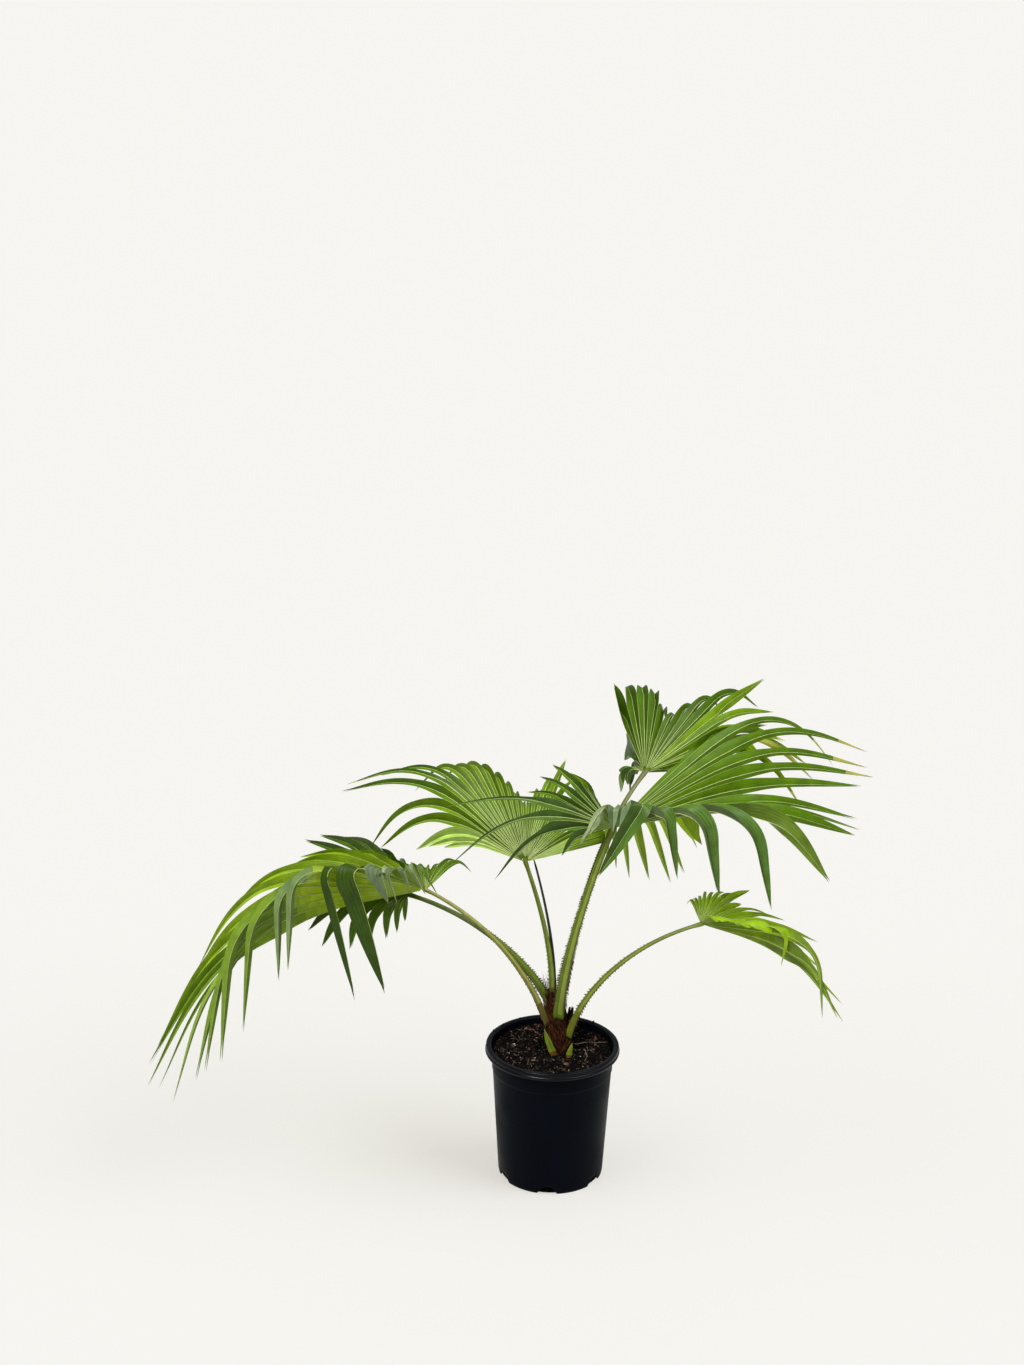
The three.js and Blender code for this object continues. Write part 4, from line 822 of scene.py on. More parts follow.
def new_group(name, inputs, outputs):
    """An empty shader node group with named inputs and outputs, and its two end nodes.

    What has a name that ends in Colour is a colour, and the rest are values.
    """
    group = bpy.data.node_groups.new(name, "ShaderNodeTree")
    for direction, labels in (("INPUT", inputs), ("OUTPUT", outputs)):
        for label in labels:
            kind = "NodeSocketColor" if label.endswith("Colour") else "NodeSocketFloat"
            group.interface.new_socket(label, in_out=direction, socket_type=kind)
    return group, group.nodes.new("NodeGroupInput").outputs, group.nodes.new("NodeGroupOutput")


def use_group(tree, group, **inputs):
    return add_node(tree, "Group", {"node_tree": group}, **inputs).outputs


def new_finish(name):
    """A material with only its output node and a Principled shader."""
    finish = bpy.data.materials.new(name)
    finish.use_nodes = True
    tree = finish.node_tree
    tree.nodes.clear()
    output = add_node(tree, "OutputMaterial")
    shader = add_node(tree, "BsdfPrincipled")
    feed(tree, output, {"Surface": shader.outputs[0]})
    return finish, tree, shader, output


def dress(tree, shader, effect, mask, roughness, gloss, depth, strength=1.0):
    """Colours a shader from a shared effect, with a relief, and a roughness that follows the mask."""
    bump = add_node(tree, "Bump", Height=effect["Height"], Strength=strength, Distance=depth)
    rough = ranged(tree, effect[mask], 0.0, 1.0, *roughness)
    feed(tree, shader, {"Base Color": effect["Colour"], "Roughness": rough, "Normal": bump.outputs[0]})
    shader.inputs["Specular IOR Level"].default_value = gloss


# ---------------------------------------------------------------- shared effects

LINE_EDGES = (0.1, 1.0)  # where a line starts and is full, along a wave
# How each kind of mark is dealt: the scale and detail of its noise, between which levels of that noise it
# sets in, and how bright or how high it is.
STREAK = {"spread": 9.0, "scale": 2.2, "detail": 4.0, "edges": (0.35, 0.7)}
MOTTLE = {"detail": 3.0, "edges": (0.3, 0.7), "levels": (-0.5, 0.5)}
LINE_HEIGHT, STREAK_HEIGHT = 0.6, 0.4
STAIN = {"detail": 5.0, "edges": (0.42, 0.62)}
GRAIN = {"detail": 2.0, "edges": (0.3, 0.7), "levels": (0.75, 1.2)}


def lengthwise_group():
    """Streaks that run along a leaf or a stalk, from its own coordinates, and a broad mottle."""
    inputs = ["Colour", "Streak Colour", "Lines", "Line Share", "Streaks", "Mottle", "Mottle Scale"]
    group, given, end = new_group("Lengthwise grain", inputs, ["Colour", "Height", "Streak"])
    place = add_node(group, "TexCoord").outputs
    across = add_node(group, "SeparateXYZ", Vector=place["UV"]).outputs
    phase = maths(group, "MULTIPLY", maths(group, "MULTIPLY", across[0], given["Lines"]), TURN)
    line = ranged(group, maths(group, "SINE", phase), *LINE_EDGES)
    wide = maths(group, "MULTIPLY", across[0], STREAK["spread"])
    drawn = add_node(group, "CombineXYZ", X=wide, Y=across[1]).outputs[0]
    streak = ranged(group, noise(group, drawn, STREAK["scale"], STREAK["detail"]), *STREAK["edges"])
    patches = noise(group, place["Object"], given["Mottle Scale"], MOTTLE["detail"])
    broad = ranged(group, patches, *MOTTLE["edges"], *MOTTLE["levels"])
    colour = given["Colour"]
    for mask, label in ((line, "Line Share"), (streak, "Streaks")):
        share = maths(group, "MULTIPLY", mask, given[label])
        colour = blended(group, share, colour, given["Streak Colour"])
    level = maths(group, "ADD", 1.0, maths(group, "MULTIPLY", broad, given["Mottle"]))
    lines_up = maths(group, "MULTIPLY", line, LINE_HEIGHT)
    height = maths(group, "ADD", lines_up, maths(group, "MULTIPLY", streak, STREAK_HEIGHT))
    feed(group, end, {"Colour": brightened(group, colour, level), "Height": height, "Streak": streak})
    return group


def speckle_group():
    """Grains and stains over a surface: two colours dealt by noise, with a fine rough height."""
    inputs = ["Colour", "Stain Colour", "Stain Share", "Stain Scale", "Grain Scale"]
    group, given, end = new_group("Speckle", inputs, ["Colour", "Height", "Stain"])
    place = add_node(group, "TexCoord").outputs["Object"]
    stain = ranged(group, noise(group, place, given["Stain Scale"], STAIN["detail"]), *STAIN["edges"])
    grain = noise(group, place, given["Grain Scale"], GRAIN["detail"])
    share = maths(group, "MULTIPLY", stain, given["Stain Share"])
    stained = blended(group, share, given["Colour"], given["Stain Colour"])
    level = ranged(group, grain, *GRAIN["edges"], *GRAIN["levels"])
    feed(group, end, {"Colour": brightened(group, stained, level), "Height": grain, "Stain": stain})
    return group


LENGTHWISE = lengthwise_group()
SPECKLE = speckle_group()


# ---------------------------------------------------------------- finishes

LEAF_LOOK = {"Lines": 5.0, "Line_Share": 0.4, "Streaks": 0.5, "Mottle": 0.4, "Mottle_Scale": 45.0}
LEAF_VEINS_AND_HIGHLIGHTS = {"top": 2.4, "under": 2.0}  # how much brighter the streaks are than each face: pale veins, made bright enough to paint the highlights along the pleats as well
LEAF_SURFACE = {"roughness": (0.36, 0.5), "gloss": 0.22, "depth": 0.00012, "strength": 0.7}
LINE_SHARE, STALK_MOTTLE = 0.5, 90.0  # strength of the lines and scale of the mottle on stalks and fibres
ROUGHER = 0.15  # how much rougher a streak or a stain is
LEAF_FINISHES = {}


def rgba(colour, level=1.0):
    return (colour[0] * level, colour[1] * level, colour[2] * level, 1.0)


def leaf_finish(first, second, share, level):
    """The finish of a blade: two leaf tints mixed by share, and darkened or lightened by level, which paints
    the shade or the light on one half of a fold.

    Its lower face is paler and duller; its paleness is partly its own colour and partly painted light that
    shines through the blade.
    """
    if share in (0.0, 1.0):
        first = second = second if share else first
    key = f"{first}_{level:g}" if first == second else f"{first}_{second}_{share:.2g}_{level:g}"
    if key in LEAF_FINISHES:
        return LEAF_FINISHES[key]
    faces = zip(LEAF_TINTS[first], LEAF_TINTS[second])
    top, under = (level * mix(np.array(a), np.array(b), share) for a, b in faces)
    finish, tree, shader, output = new_finish("leaf_" + key)
    back = add_node(tree, "NewGeometry").outputs["Backfacing"]
    ground = blended(tree, back, rgba(top), rgba(under))
    # the pale streaks are veins with painted highlights on them
    pale = blended(tree, back, rgba(top, LEAF_VEINS_AND_HIGHLIGHTS["top"]), rgba(under, LEAF_VEINS_AND_HIGHLIGHTS["under"]))
    grain = use_group(tree, LENGTHWISE, Colour=ground, Streak_Colour=pale, **LEAF_LOOK)
    dress(tree, shader, grain, "Streak", **LEAF_SURFACE)
    through = add_node(tree, "BsdfTranslucent", Color=grain["Colour"])
    mixed = add_node(tree, "MixShader", Fac=LEAF_THROUGH, i1=shader.outputs[0], i2=through.outputs[0])
    feed(tree, output, {"Surface": mixed.outputs[0]})
    LEAF_FINISHES[key] = finish
    return finish


def grained_finish(name, colour, streak, lines, roughness, depth, gloss, streaks=0.5, mottle=0.3):
    """A stalk, rib or fibre: streaks along it and a fine relief."""
    finish, tree, shader, _ = new_finish(name)
    grain = use_group(tree, LENGTHWISE, Colour=rgba(colour), Streak_Colour=rgba(streak), Lines=lines,
                      Line_Share=LINE_SHARE, Streaks=streaks, Mottle=mottle, Mottle_Scale=STALK_MOTTLE)
    dress(tree, shader, grain, "Streak", (roughness, roughness + ROUGHER), gloss, depth)
    return finish


def speckled_finish(name, colour, stain, roughness, depth, gloss, share, scale, grain):
    """Potting mix, crumbs or plastic: stains and a fine grain."""
    finish, tree, shader, _ = new_finish(name)
    speckle = use_group(tree, SPECKLE, Colour=rgba(colour), Stain_Colour=rgba(stain), Stain_Share=share,
                        Stain_Scale=scale, Grain_Scale=grain)
    dress(tree, shader, speckle, "Stain", (roughness, min(roughness + ROUGHER, 1.0)), gloss, depth)
    return finish


def matt_finish(name, colour, glow=(0, 0, 0)):
    """A plain dull colour, with some light of its own."""
    finish, _, shader, _ = new_finish(name)
    settings = {"Base Color": rgba(colour), "Roughness": 1.0, "Specular IOR Level": 0.0,
                "Emission Color": rgba(glow), "Emission Strength": 1.0}
    for label, value in settings.items():
        shader.inputs[label].default_value = value
    return finish


# ---------------------------------------------------------------- pot

SHARP, CRISP, PLAIN, SOFT, BROAD = 0.4, 0.8, 1, 1.2, 2  # how far the pot's corners are eased
EASE_STEPS, EASE_MOST = 5, 0.49  # how finely, and how much of the edge beside it a corner takes at most
FOOT = {"inset": 0.8, "flare": 0.3, "height": 5, "notched": 8}  # notched is how far in the notches cut
WALL_RINGS = [15, 19, 30, 60, 110, 150]  # heights at which the wall is drawn again, so that it shades evenly
NECK_FLARE = 0.5  # how much the neck widens up to the rim
# The rolled rim from below: how far each corner stands in, its height over the rim's foot, and its easing.
RIM_ROLL = [(1.4, 0, PLAIN), (0, 1.8, SOFT), (0.1, 4.2, PLAIN), (1.5, 5.6, CRISP), (0.9, 7.2, PLAIN)]
RIM_TOP = 1.3  # how far the rim's top edge stands in
MOUTH = {"dip": 0.2, "flare": 0.2, "below": 8}  # the inside of the mouth, down to this far below the rim
WOBBLE = {"size": 0.0008, "waves": 3, "turn": 1}  # how far from round the wall is
# Looks of the pot's plastic: colour, stain, roughness and gloss.
POT_LOOKS = {
    "pot_plastic": ((0.0006, 0.0013, 0.0036), (0.001, 0.002, 0.005), 0.38, 0.035),
    "pot_shade_wall": ((0.001, 0.001, 0.0012), (0.002, 0.002, 0.002), 0.9, 0.02),
    "pot_rim": ((0.001, 0.0015, 0.003), (0.002, 0.003, 0.005), 0.26, 0.12),
}
PLASTIC = {"depth": 0.00003, "share": 0.6, "scale": 14.0, "grain": 1600.0}
WALL_LOOK, SHADE_LOOK, RIM_LOOK = 0, 1, 2  # places in POT_LOOKS


def rounded(corners):
    """A profile of (radius, height, easing) corners, with each corner eased by an arc."""
    points = []
    for k, (r, z, ease) in enumerate(corners):
        here = np.array([r, z])
        if not ease or k in (0, len(corners) - 1):
            points.append(here)
            continue
        before = np.array(corners[k - 1][:2]) - here
        after = np.array(corners[k + 1][:2]) - here
        reach = min(ease, EASE_MOST * np.linalg.norm(before), EASE_MOST * np.linalg.norm(after))
        a, b = here + unit(before) * reach, here + unit(after) * reach
        for t in np.linspace(0, 1, EASE_STEPS + 1):
            points.append(a * (1 - t) ** 2 + 2 * here * t * (1 - t) + b * t**2)
    return np.array(points)


def outer_radius(z):
    return mix(POT["foot"], POT["shoulder"], z / POT["shoulder_height"])


def pot_corners():
    """The pot's profile, from the middle of its underside round the foot and over the rim to its floor."""
    foot, neck, shoulder, rim, wall = (POT[key] for key in ("foot", "neck", "shoulder", "rim", "wall"))
    disc, slope, channel, top = (POT[key] for key in ("disc", "slope", "channel", "height"))
    edge = foot - FOOT["inset"]
    rim_foot = top - POT["rim_height"]
    inside = neck - wall
    floor = channel + wall
    return [
        (disc, 0, 0),
        (disc + slope, channel, PLAIN),
        (edge - POT["ring"], channel, PLAIN),
        (edge - wall, 0, SHARP),
        (edge, 0, CRISP),
        (foot + FOOT["flare"], FOOT["height"], BROAD),
        *[(outer_radius(z), z, 0) for z in WALL_RINGS],
        (shoulder, POT["shoulder_height"], SOFT),
        (neck - NECK_FLARE, POT["shoulder_height"] + POT["step"], PLAIN),
        (neck, rim_foot, CRISP),
        *[(rim - back, rim_foot + up, ease) for back, up, ease in RIM_ROLL],
        (rim - RIM_TOP, top, POT["rim_round"]),
        (inside + POT["lip"], top - MOUTH["dip"], POT["rim_round"]),
        (inside + MOUTH["flare"], rim_foot - MOUTH["below"], BROAD),
        (shoulder - wall, POT["shoulder_height"], PLAIN),
        (outer_radius(floor) - wall, floor, PLAIN),
        (disc + slope / 2, floor, PLAIN),
        (disc - slope / 2, wall, 0),
    ]


def notch_height(angle):
    """How high the foot ring is cut away at an angle round the pot."""
    pitch = TURN / DRAIN["count"]
    first = math.radians(DRAIN["first"]) - math.pi / 2
    off = np.abs((angle - first + pitch / 2) % pitch - pitch / 2) * POT["foot"]
    slope = (DRAIN["bottom"] / 2 - off) / ((DRAIN["bottom"] - DRAIN["top"]) / 2)
    return np.clip(slope, 0, 1) * DRAIN["height"]


def pot_piece():
    """The pot, turned round its axis, with its foot ring cut by the drain notches."""
    even = np.arange(POT_SIDES) * TURN / POT_SIDES
    first = math.radians(DRAIN["first"]) - math.pi / 2
    edges = [side * width / 2 / POT["foot"] for side in (-1, 1) for width in (DRAIN["bottom"], DRAIN["top"])]
    flanks = [first + k * TURN / DRAIN["count"] + edge for k in range(DRAIN["count"]) for edge in edges]
    angles = np.unique(np.round(np.concatenate([even, np.array(flanks) % TURN]), 6))
    profile = rounded(pot_corners())
    cut = notch_height(angles)
    rows = []
    for r, z in profile:
        notched = r > POT["foot"] - FOOT["notched"] and z < DRAIN["height"]
        height = np.maximum(z, cut) if notched else np.full(len(angles), z)
        radius = np.where(height > z, np.minimum(outer_radius(height), r), r)
        wave = np.sin(WOBBLE["waves"] * angles + WOBBLE["turn"])
        radius = radius * (1 + WOBBLE["size"] * wave * (z / POT["height"]))
        rows.append(np.stack([radius * np.cos(angles), radius * np.sin(angles), height], -1))
    pot = Patchwork()
    grid = np.array(rows)
    rim = (profile[:-1, 1] + profile[1:, 1]) / 2 > POT["height"] - POT["rim_height"]
    pot.sheet(grid, np.where(rim, RIM_LOOK, WALL_LOOK), around=True)
    for ring, height in ((grid[0], 0.0), (grid[-1], POT["wall"])):
        centre = np.broadcast_to([0, 0, height], ring.shape)
        pot.sheet(np.array([centre, ring]), WALL_LOOK, around=True)
    # a dark wall of painted shade inside the foot ring, seen through the drain notches
    outside, low, high = POT["foot"] - PAINTED_SHADE_WALL["inset"], PAINTED_SHADE_WALL["lift"], POT["channel"]
    inside = outside - PAINTED_SHADE_WALL["thick"]
    circle = np.stack([np.cos(even), np.sin(even)], -1)
    corners = [(outside, low), (outside, high), (inside, high), (inside, low), (outside, low)]
    skirt = [np.c_[circle * r, np.full(len(even), float(z))] for r, z in corners]
    pot.sheet(np.array(skirt), SHADE_LOOK, around=True)
    looks = [speckled_finish(name, colour, stain, rough, gloss=gloss, **PLASTIC)
             for name, (colour, stain, rough, gloss) in POT_LOOKS.items()]
    pot.build("nursery_pot", "pot", looks, ["pot"], closed=True)


# ---------------------------------------------------------------- potting mix

SOIL_BUMPS = [(1.1, 16, 3), (0.6, 5, 4)]  # height, size and seed of the broad and the fine bumps
BED = {"middle": 0.5, "rings": 56, "columns": 132, "inset": 3, "lift": 1}  # inside the wall and the floor
# Its colour, stain, roughness, relief and gloss, then how much and how fine its stains and its grain are.
BED_LOOK = ((0.0015, 0.0013, 0.0013), (0.008, 0.006, 0.004), 0.85, 0.0006, 0.03, 0.7, 220.0, 1500.0)

# Looks of the crumbs: colour, stain, roughness, depth of relief and how fine the stains are.
CRUMB_LOOKS = {
    "crumb_black": ((0.0015, 0.0015, 0.002), (0.005, 0.004, 0.003), 0.85, 0.0002, 300),
    "crumb_umber": ((0.012, 0.009, 0.006), (0.03, 0.022, 0.015), 0.85, 0.0002, 300),
    "chip_brown": ((0.05, 0.034, 0.022), (0.02, 0.012, 0.008), 0.85, 0.0002, 300),
    "chip_rust": ((0.16, 0.06, 0.03), (0.07, 0.025, 0.014), 0.85, 0.0002, 300),
    "fibre_tan": ((0.26, 0.19, 0.13), (0.12, 0.08, 0.05), 0.85, 0.0001, 300),
    "grit_grey": ((0.12, 0.11, 0.09), (0.05, 0.045, 0.035), 0.7, 0.0001, 500),
    "perlite_white": ((0.62, 0.6, 0.55), (0.35, 0.32, 0.28), 0.8, 0.0001, 700),
}
CRUMB = {"gloss": 0.04, "share": 0.6, "grain": 900.0}
# Crumbs on the mix: their look, how many, smallest and largest size, shape, seed, how deep they sink, and
# where the first of them lie.
CRUMBS = {
    "soil_crumbs_black": ("crumb_black", 2300, (1.6, 4.6), (1, 0.75, 0.55), 11, 0.35, []),
    "soil_crumbs_umber": ("crumb_umber", 650, (1.2, 3.6), (1.2, 0.7, 0.5), 16, 0.2, []),
    "soil_chips_brown": ("chip_brown", 220, (1.6, 5.5), (1.4, 0.5, 0.35), 12, 0.2, []),
    "soil_fibres_tan": ("fibre_tan", 60, (2.0, 6.0), (1.8, 0.25, 0.2), 13, 0.1, []),
    "soil_grit": ("grit_grey", 200, (0.9, 2.0), (1, 0.9, 0.8), 14, 0.25, []),
    "soil_perlite": ("perlite_white", 14, (1.0, 2.0), (1, 0.9, 0.8), 15, 0.2, PERLITE),
    "soil_chips_rust": ("chip_rust", 18, (3.0, 7.0), (1.2, 0.7, 0.4), 17, 0.2, RUST_CHIPS),
}
# How uneven a crumb is, how far it leans, and how far it stays from the wall and the trunk.
CHIP = {"sizes": (0.7, 1.3), "corners": (0.55, 1.0), "rough": 0.12, "tilt": 0.9, "wall": 1, "trunk": 2}
RIM_CRUMB = {"each": 3, "turn": 3, "aside": 1.5, "sizes": (0.5, 1.5), "corners": (0.5, 1), "lift": 0.4}
# Long roots on the mix: their two ends with a bend between them, their radius, and 1 if they are pale.
LONG_ROOTS = [
    ([31, 13], [57, 15], [81, 24], 0.8, 1),
    ([46, -4], [56, -22], [47, -43], 0.55, 1),
    ([-60, 22], [-40, 36], [-18, 26], 0.5, 0),
]
# The short ones: how many, the share of the bed that they lie in, half their length, how far they bow and
# stay from the wall, and their radii. Then how every root wavers: how much, and the sizes of its bends.
ROOTLET = {"count": 16, "within": 0.92, "half": (5, 14), "bow": 3, "clear": 3, "radius": (0.15, 0.3)}
ROOT = {"steps": 13, "sides": 5, "thin": 0.45, "waver": 1.1, "run": 40, "bends": ((9, 7), (7, 8)),
        "lift": 2.0, "hop": 0.6, "hops": 7}
BOX = np.array([(x, y, z) for x in (-1, 1) for y in (-1, 1) for z in (-1, 1)], float)
BOX_FACES = [(0, 1, 3, 2), (4, 6, 7, 5), (0, 4, 5, 1), (2, 3, 7, 6), (0, 2, 6, 4), (1, 5, 7, 3)]


def soil_height(x, y):
    """How high the mix lies: level round the trunk, lower at the wall, and rough all over."""
    eased = mix(SOIL["seat"], POT["neck"], SOIL["ease"])
    drops = [0, 0, SOIL["ease_drop"], SOIL["edge_drop"]]
    levels = [SOIL["level"] - drop for drop in drops]
    z = np.interp(np.hypot(x, y), [0, SOIL["seat"], eased, POT["neck"]], levels) - SOIL["sunk"]
    places = np.stack([x, y, x * 0], -1)
    for height, size, seed in SOIL_BUMPS:
        z = z + height * ripple(places, size, seed)
    return z


def soil_bed():
    """The body of the mix: a rough top on a plug that fills the pot."""
    radii = np.linspace(BED["middle"], SOIL_REACH, BED["rings"])
    angles = np.arange(BED["columns"]) * TURN / BED["columns"]
    r, a = np.meshgrid(radii, angles, indexing="ij")
    x, y = r * np.cos(a), r * np.sin(a)
    top = np.stack([x, y, soil_height(x, y)], -1)
    floor = POT["channel"] + POT["wall"]
    base = floor + BED["lift"]
    below = [(POT["shoulder"] - BED["inset"], POT["shoulder_height"]),
             (outer_radius(floor) - BED["inset"], base), (POT["disc"], base)]
    rings = [np.stack([r * np.cos(angles), r * np.sin(angles), angles * 0 + z], -1) for r, z in below]
    bed = Patchwork()
    bed.sheet(np.concatenate([top[:1] * [0, 0, 1], top, rings, [rings[-1] * [0, 0, 1]]]), around=True)
    bed.build("potting_mix_bed", "soil", [speckled_finish("potting_mix", *BED_LOOK)], ["soil"], closed=True)


def turned_by(dice, tilt=math.pi):
    """A random turn of space, no further from upright than tilt."""
    around = Matrix.Rotation(dice.uniform(0, TURN), 3, "Z")
    lean = Matrix.Rotation(dice.uniform(-tilt, tilt), 3, Vector(dice.normal(size=3)).normalized())
    return np.array(lean @ around)


def crumbs(name, finish, count, sizes, shape, seed, sink, spots):
    """Crumbs on the mix: boxes with every corner pushed about, flattened or drawn out by shape.

    They lie at the given spots first, and the rest are strewn at random.
    """
    dice = np.random.default_rng(seed)
    chips = Patchwork()
    for number in range(count):
        r = (SOIL_REACH - CHIP["wall"]) * math.sqrt(dice.uniform(0.001, 1))
        a = dice.uniform(0, TURN)
        x, y = spots[number] if number < len(spots) else (r * math.cos(a), r * math.sin(a))
        if math.dist((x, y), TRUNK["foot"]) < TRUNK["radii"][0] - CHIP["trunk"]:
            continue
        half = dice.uniform(*sizes) / 2 * np.array(shape) * dice.uniform(*CHIP["sizes"], 3)
        corners = BOX * half * dice.uniform(*CHIP["corners"], (8, 1))
        corners = corners + dice.normal(size=(8, 3)) * half * CHIP["rough"]
        corners = corners @ turned_by(dice, CHIP["tilt"]).T
        z = float(soil_height(np.array(x), np.array(y))) + half.min() * (1 - 2 * sink)
        chips.solid(corners + [x, y, z], BOX_FACES)
    chips.build(name, "soil", [finish], closed=True, smooth_faces=False)


def soil_details():
    """All that lies on the mix, and a few crumbs on the rim."""
    looks = {name: speckled_finish(name, *look, scale=scale, **CRUMB)
             for name, (*look, scale) in CRUMB_LOOKS.items()}
    for name, (look, *rest) in CRUMBS.items():
        crumbs(name, looks[look], *rest)
    rootlets(looks["chip_brown"], looks["fibre_tan"])
    rim_crumbs(looks["crumb_umber"])


def rootlets(dark, pale):
    """Thin roots and fibres that lie on the mix, a few of them long."""
    dice = np.random.default_rng(SEEDS["roots"])
    lying = Patchwork()
    routes = list(LONG_ROOTS)
    for _ in range(ROOTLET["count"]):
        r, a = SOIL_REACH * ROOTLET["within"] * math.sqrt(dice.uniform(0.05, 1)), dice.uniform(0, TURN)
        start = np.array([r * math.cos(a), r * math.sin(a)])
        way = dice.uniform(0, TURN)
        step = dice.uniform(*ROOTLET["half"]) * np.array([math.cos(way), math.sin(way)])
        middle, far = start + step + dice.normal(size=2) * ROOTLET["bow"], start + 2 * step
        if np.hypot(*far) < SOIL_REACH - ROOTLET["clear"]:
            routes.append((start, middle, far, dice.uniform(*ROOTLET["radius"]), dice.integers(2)))
    for a, b, c, radius, pale_one in routes:
        t = np.linspace(0, 1, ROOT["steps"])[:, None]
        a, b, c = (np.array(p, float) for p in (a, b, c))
        flat = a * (1 - t) ** 2 + 2 * b * t * (1 - t) + c * t**2
        places = np.c_[flat, t * ROOT["run"]]
        flat = flat + np.stack([ripple(places, *bend) for bend in ROOT["bends"]], -1) * ROOT["waver"]
        z = soil_height(flat[:, 0], flat[:, 1]) + ROOT["lift"] + ROOT["hop"] * np.sin(t[:, 0] * ROOT["hops"])
        radii = radius * np.linspace(1, ROOT["thin"], ROOT["steps"])
        lying.tube(np.c_[flat, z], radii, ROOT["sides"], int(pale_one))
    lying.build("soil_rootlets", "soil", [dark, pale], closed=True)


def rim_crumbs(finish):
    """A few crumbs of mix that lie on the pot's rim."""
    dice = np.random.default_rng(SEEDS["rim"])
    lying = Patchwork()
    for angle in RIM_CRUMBS:
        for _ in range(RIM_CRUMB["each"]):
            a = math.radians(angle + dice.uniform(-RIM_CRUMB["turn"], RIM_CRUMB["turn"]))
            r = (POT["rim"] + POT["neck"]) / 2 + dice.uniform(-RIM_CRUMB["aside"], RIM_CRUMB["aside"])
            half = dice.uniform(*RIM_CRUMB["sizes"])
            corners = BOX * half * dice.uniform(*RIM_CRUMB["corners"], (8, 3)) @ turned_by(dice).T
            place = [r * math.cos(a), r * math.sin(a), POT["height"] + half * RIM_CRUMB["lift"]]
            lying.solid(corners + place, BOX_FACES)
    lying.build("rim_crumbs", "soil", [finish], closed=True, smooth_faces=False)


# ---------------------------------------------------------------- trunk

# Looks of the trunk, the stubs and the spear: colour, streak, lines round it, roughness, depth of relief
# and gloss.
BARK_LOOKS = {
    "trunk_sheath": ((0.03, 0.009, 0.004), (0.006, 0.002, 0.0015), 30, 0.75, 0.0006, 0.05),
    "fibre_dark": ((0.004, 0.002, 0.0015), (0.012, 0.005, 0.003), 3, 0.7, 0.0001, 0.06),
    "fibre_rust": ((0.16, 0.05, 0.014), (0.06, 0.02, 0.007), 3, 0.7, 0.0001, 0.1),
    "fibre_brown": ((0.035, 0.012, 0.005), (0.08, 0.03, 0.012), 3, 0.7, 0.0001, 0.08),
    "stump_black": ((0.003, 0.0025, 0.0025), (0.009, 0.006, 0.004), 4, 0.7, 0.0002, 0.06),
    "stump_brown": ((0.02, 0.009, 0.006), (0.04, 0.018, 0.01), 4, 0.7, 0.0002, 0.06),
    "sheath_rust": ((0.2, 0.085, 0.03), (0.09, 0.035, 0.014), 5, 0.65, 0.0002, 0.25),
    "sheath_dark": ((0.07, 0.03, 0.014), (0.02, 0.01, 0.006), 5, 0.7, 0.0002, 0.25),
    "leaf_base_green": ((0.1, 0.16, 0.006), (0.19, 0.22, 0.02), 8, 0.5, 0.0003, 0.15),
    "leaf_base_brown": ((0.16, 0.075, 0.012), (0.06, 0.03, 0.008), 8, 0.6, 0.0004, 0.1),
    "spear_dark": ((0.012, 0.013, 0.009), (0.03, 0.03, 0.018), 7, 0.5, 0.0002, 0.3),
}
# How finely the bark is drawn, how deep it lies, how far its laps and ridges rise, and how deep it roots.
BARK = {"rows": 70, "columns": 96, "sunk": 1.6, "lap": 1.7, "ridge": 0.35, "root": 1.4}
LAPS = {"up": 4.2, "round": 2, "waver": 0.15, "wavers": 3}  # how often the old sheaths overlap
# Ridges of the bark: how high, how many round the trunk, how they waver with height, and how they break.
RIDGES = {"size": 0.7, "round": 23, "waver": (4, 6), "breaks": (40, 5)}
# The net of fibres round the trunk: how many, how far they rise and slant, how proud they lie, what share of
# them comes loose and how far, their radii, and over is how far up they may end.
NET = {"count": 620, "rise": (0.1, 0.3), "slant": (0.1, 0.9), "proud": 1.0, "loose": 0.13, "lift": 4.5,
       "radius": (0.14, 0.4), "thin": 0.5, "steps": 8, "sides": 4, "over": 1.04}
# The bundle of a stump's fibres: how many, how wide and flat, where they end, how they gather, and their
# radii.
STUMP = {"count": 150, "reach": 6.4, "flat": 0.75, "ends": (0.62, 1.05), "gather": 0.85, "ragged": 1.2,
         "radius": (0.5, 1.0), "thin": 0.55, "steps": 9, "sides": 5, "brown": 0.2}


def bark_finishes(*names):
    return [grained_finish(name, *BARK_LOOKS[name]) for name in names]


def trunk_axis(share):
    foot, top = np.array(TRUNK["foot"], float), np.array(TRUNK["top"], float)
    share = np.asarray(share, float)
    z = SOIL["level"] + GAP + TRUNK["height"] * share
    return np.concatenate([mix(foot, top, share[..., None]), z[..., None]], axis=-1)


def trunk_radius(share, angle):
    radii = TRUNK["radii"]
    last = len(radii) - 1
    lobe = np.sin(TRUNK["lobes"] * angle + TRUNK["lobe_shift"] * share * last) * TRUNK["lobe_size"]
    return np.interp(share, np.linspace(0, 1, last + 1), radii) * (1 + lobe)


def trunk_place(share, angle, proud=0.0):
    """A place on the trunk's skin, or proud of it."""
    reach = trunk_radius(share, angle) + proud
    place = trunk_axis(share)
    place[..., 0] += np.cos(angle) * reach
    place[..., 1] += np.sin(angle) * reach
    return place


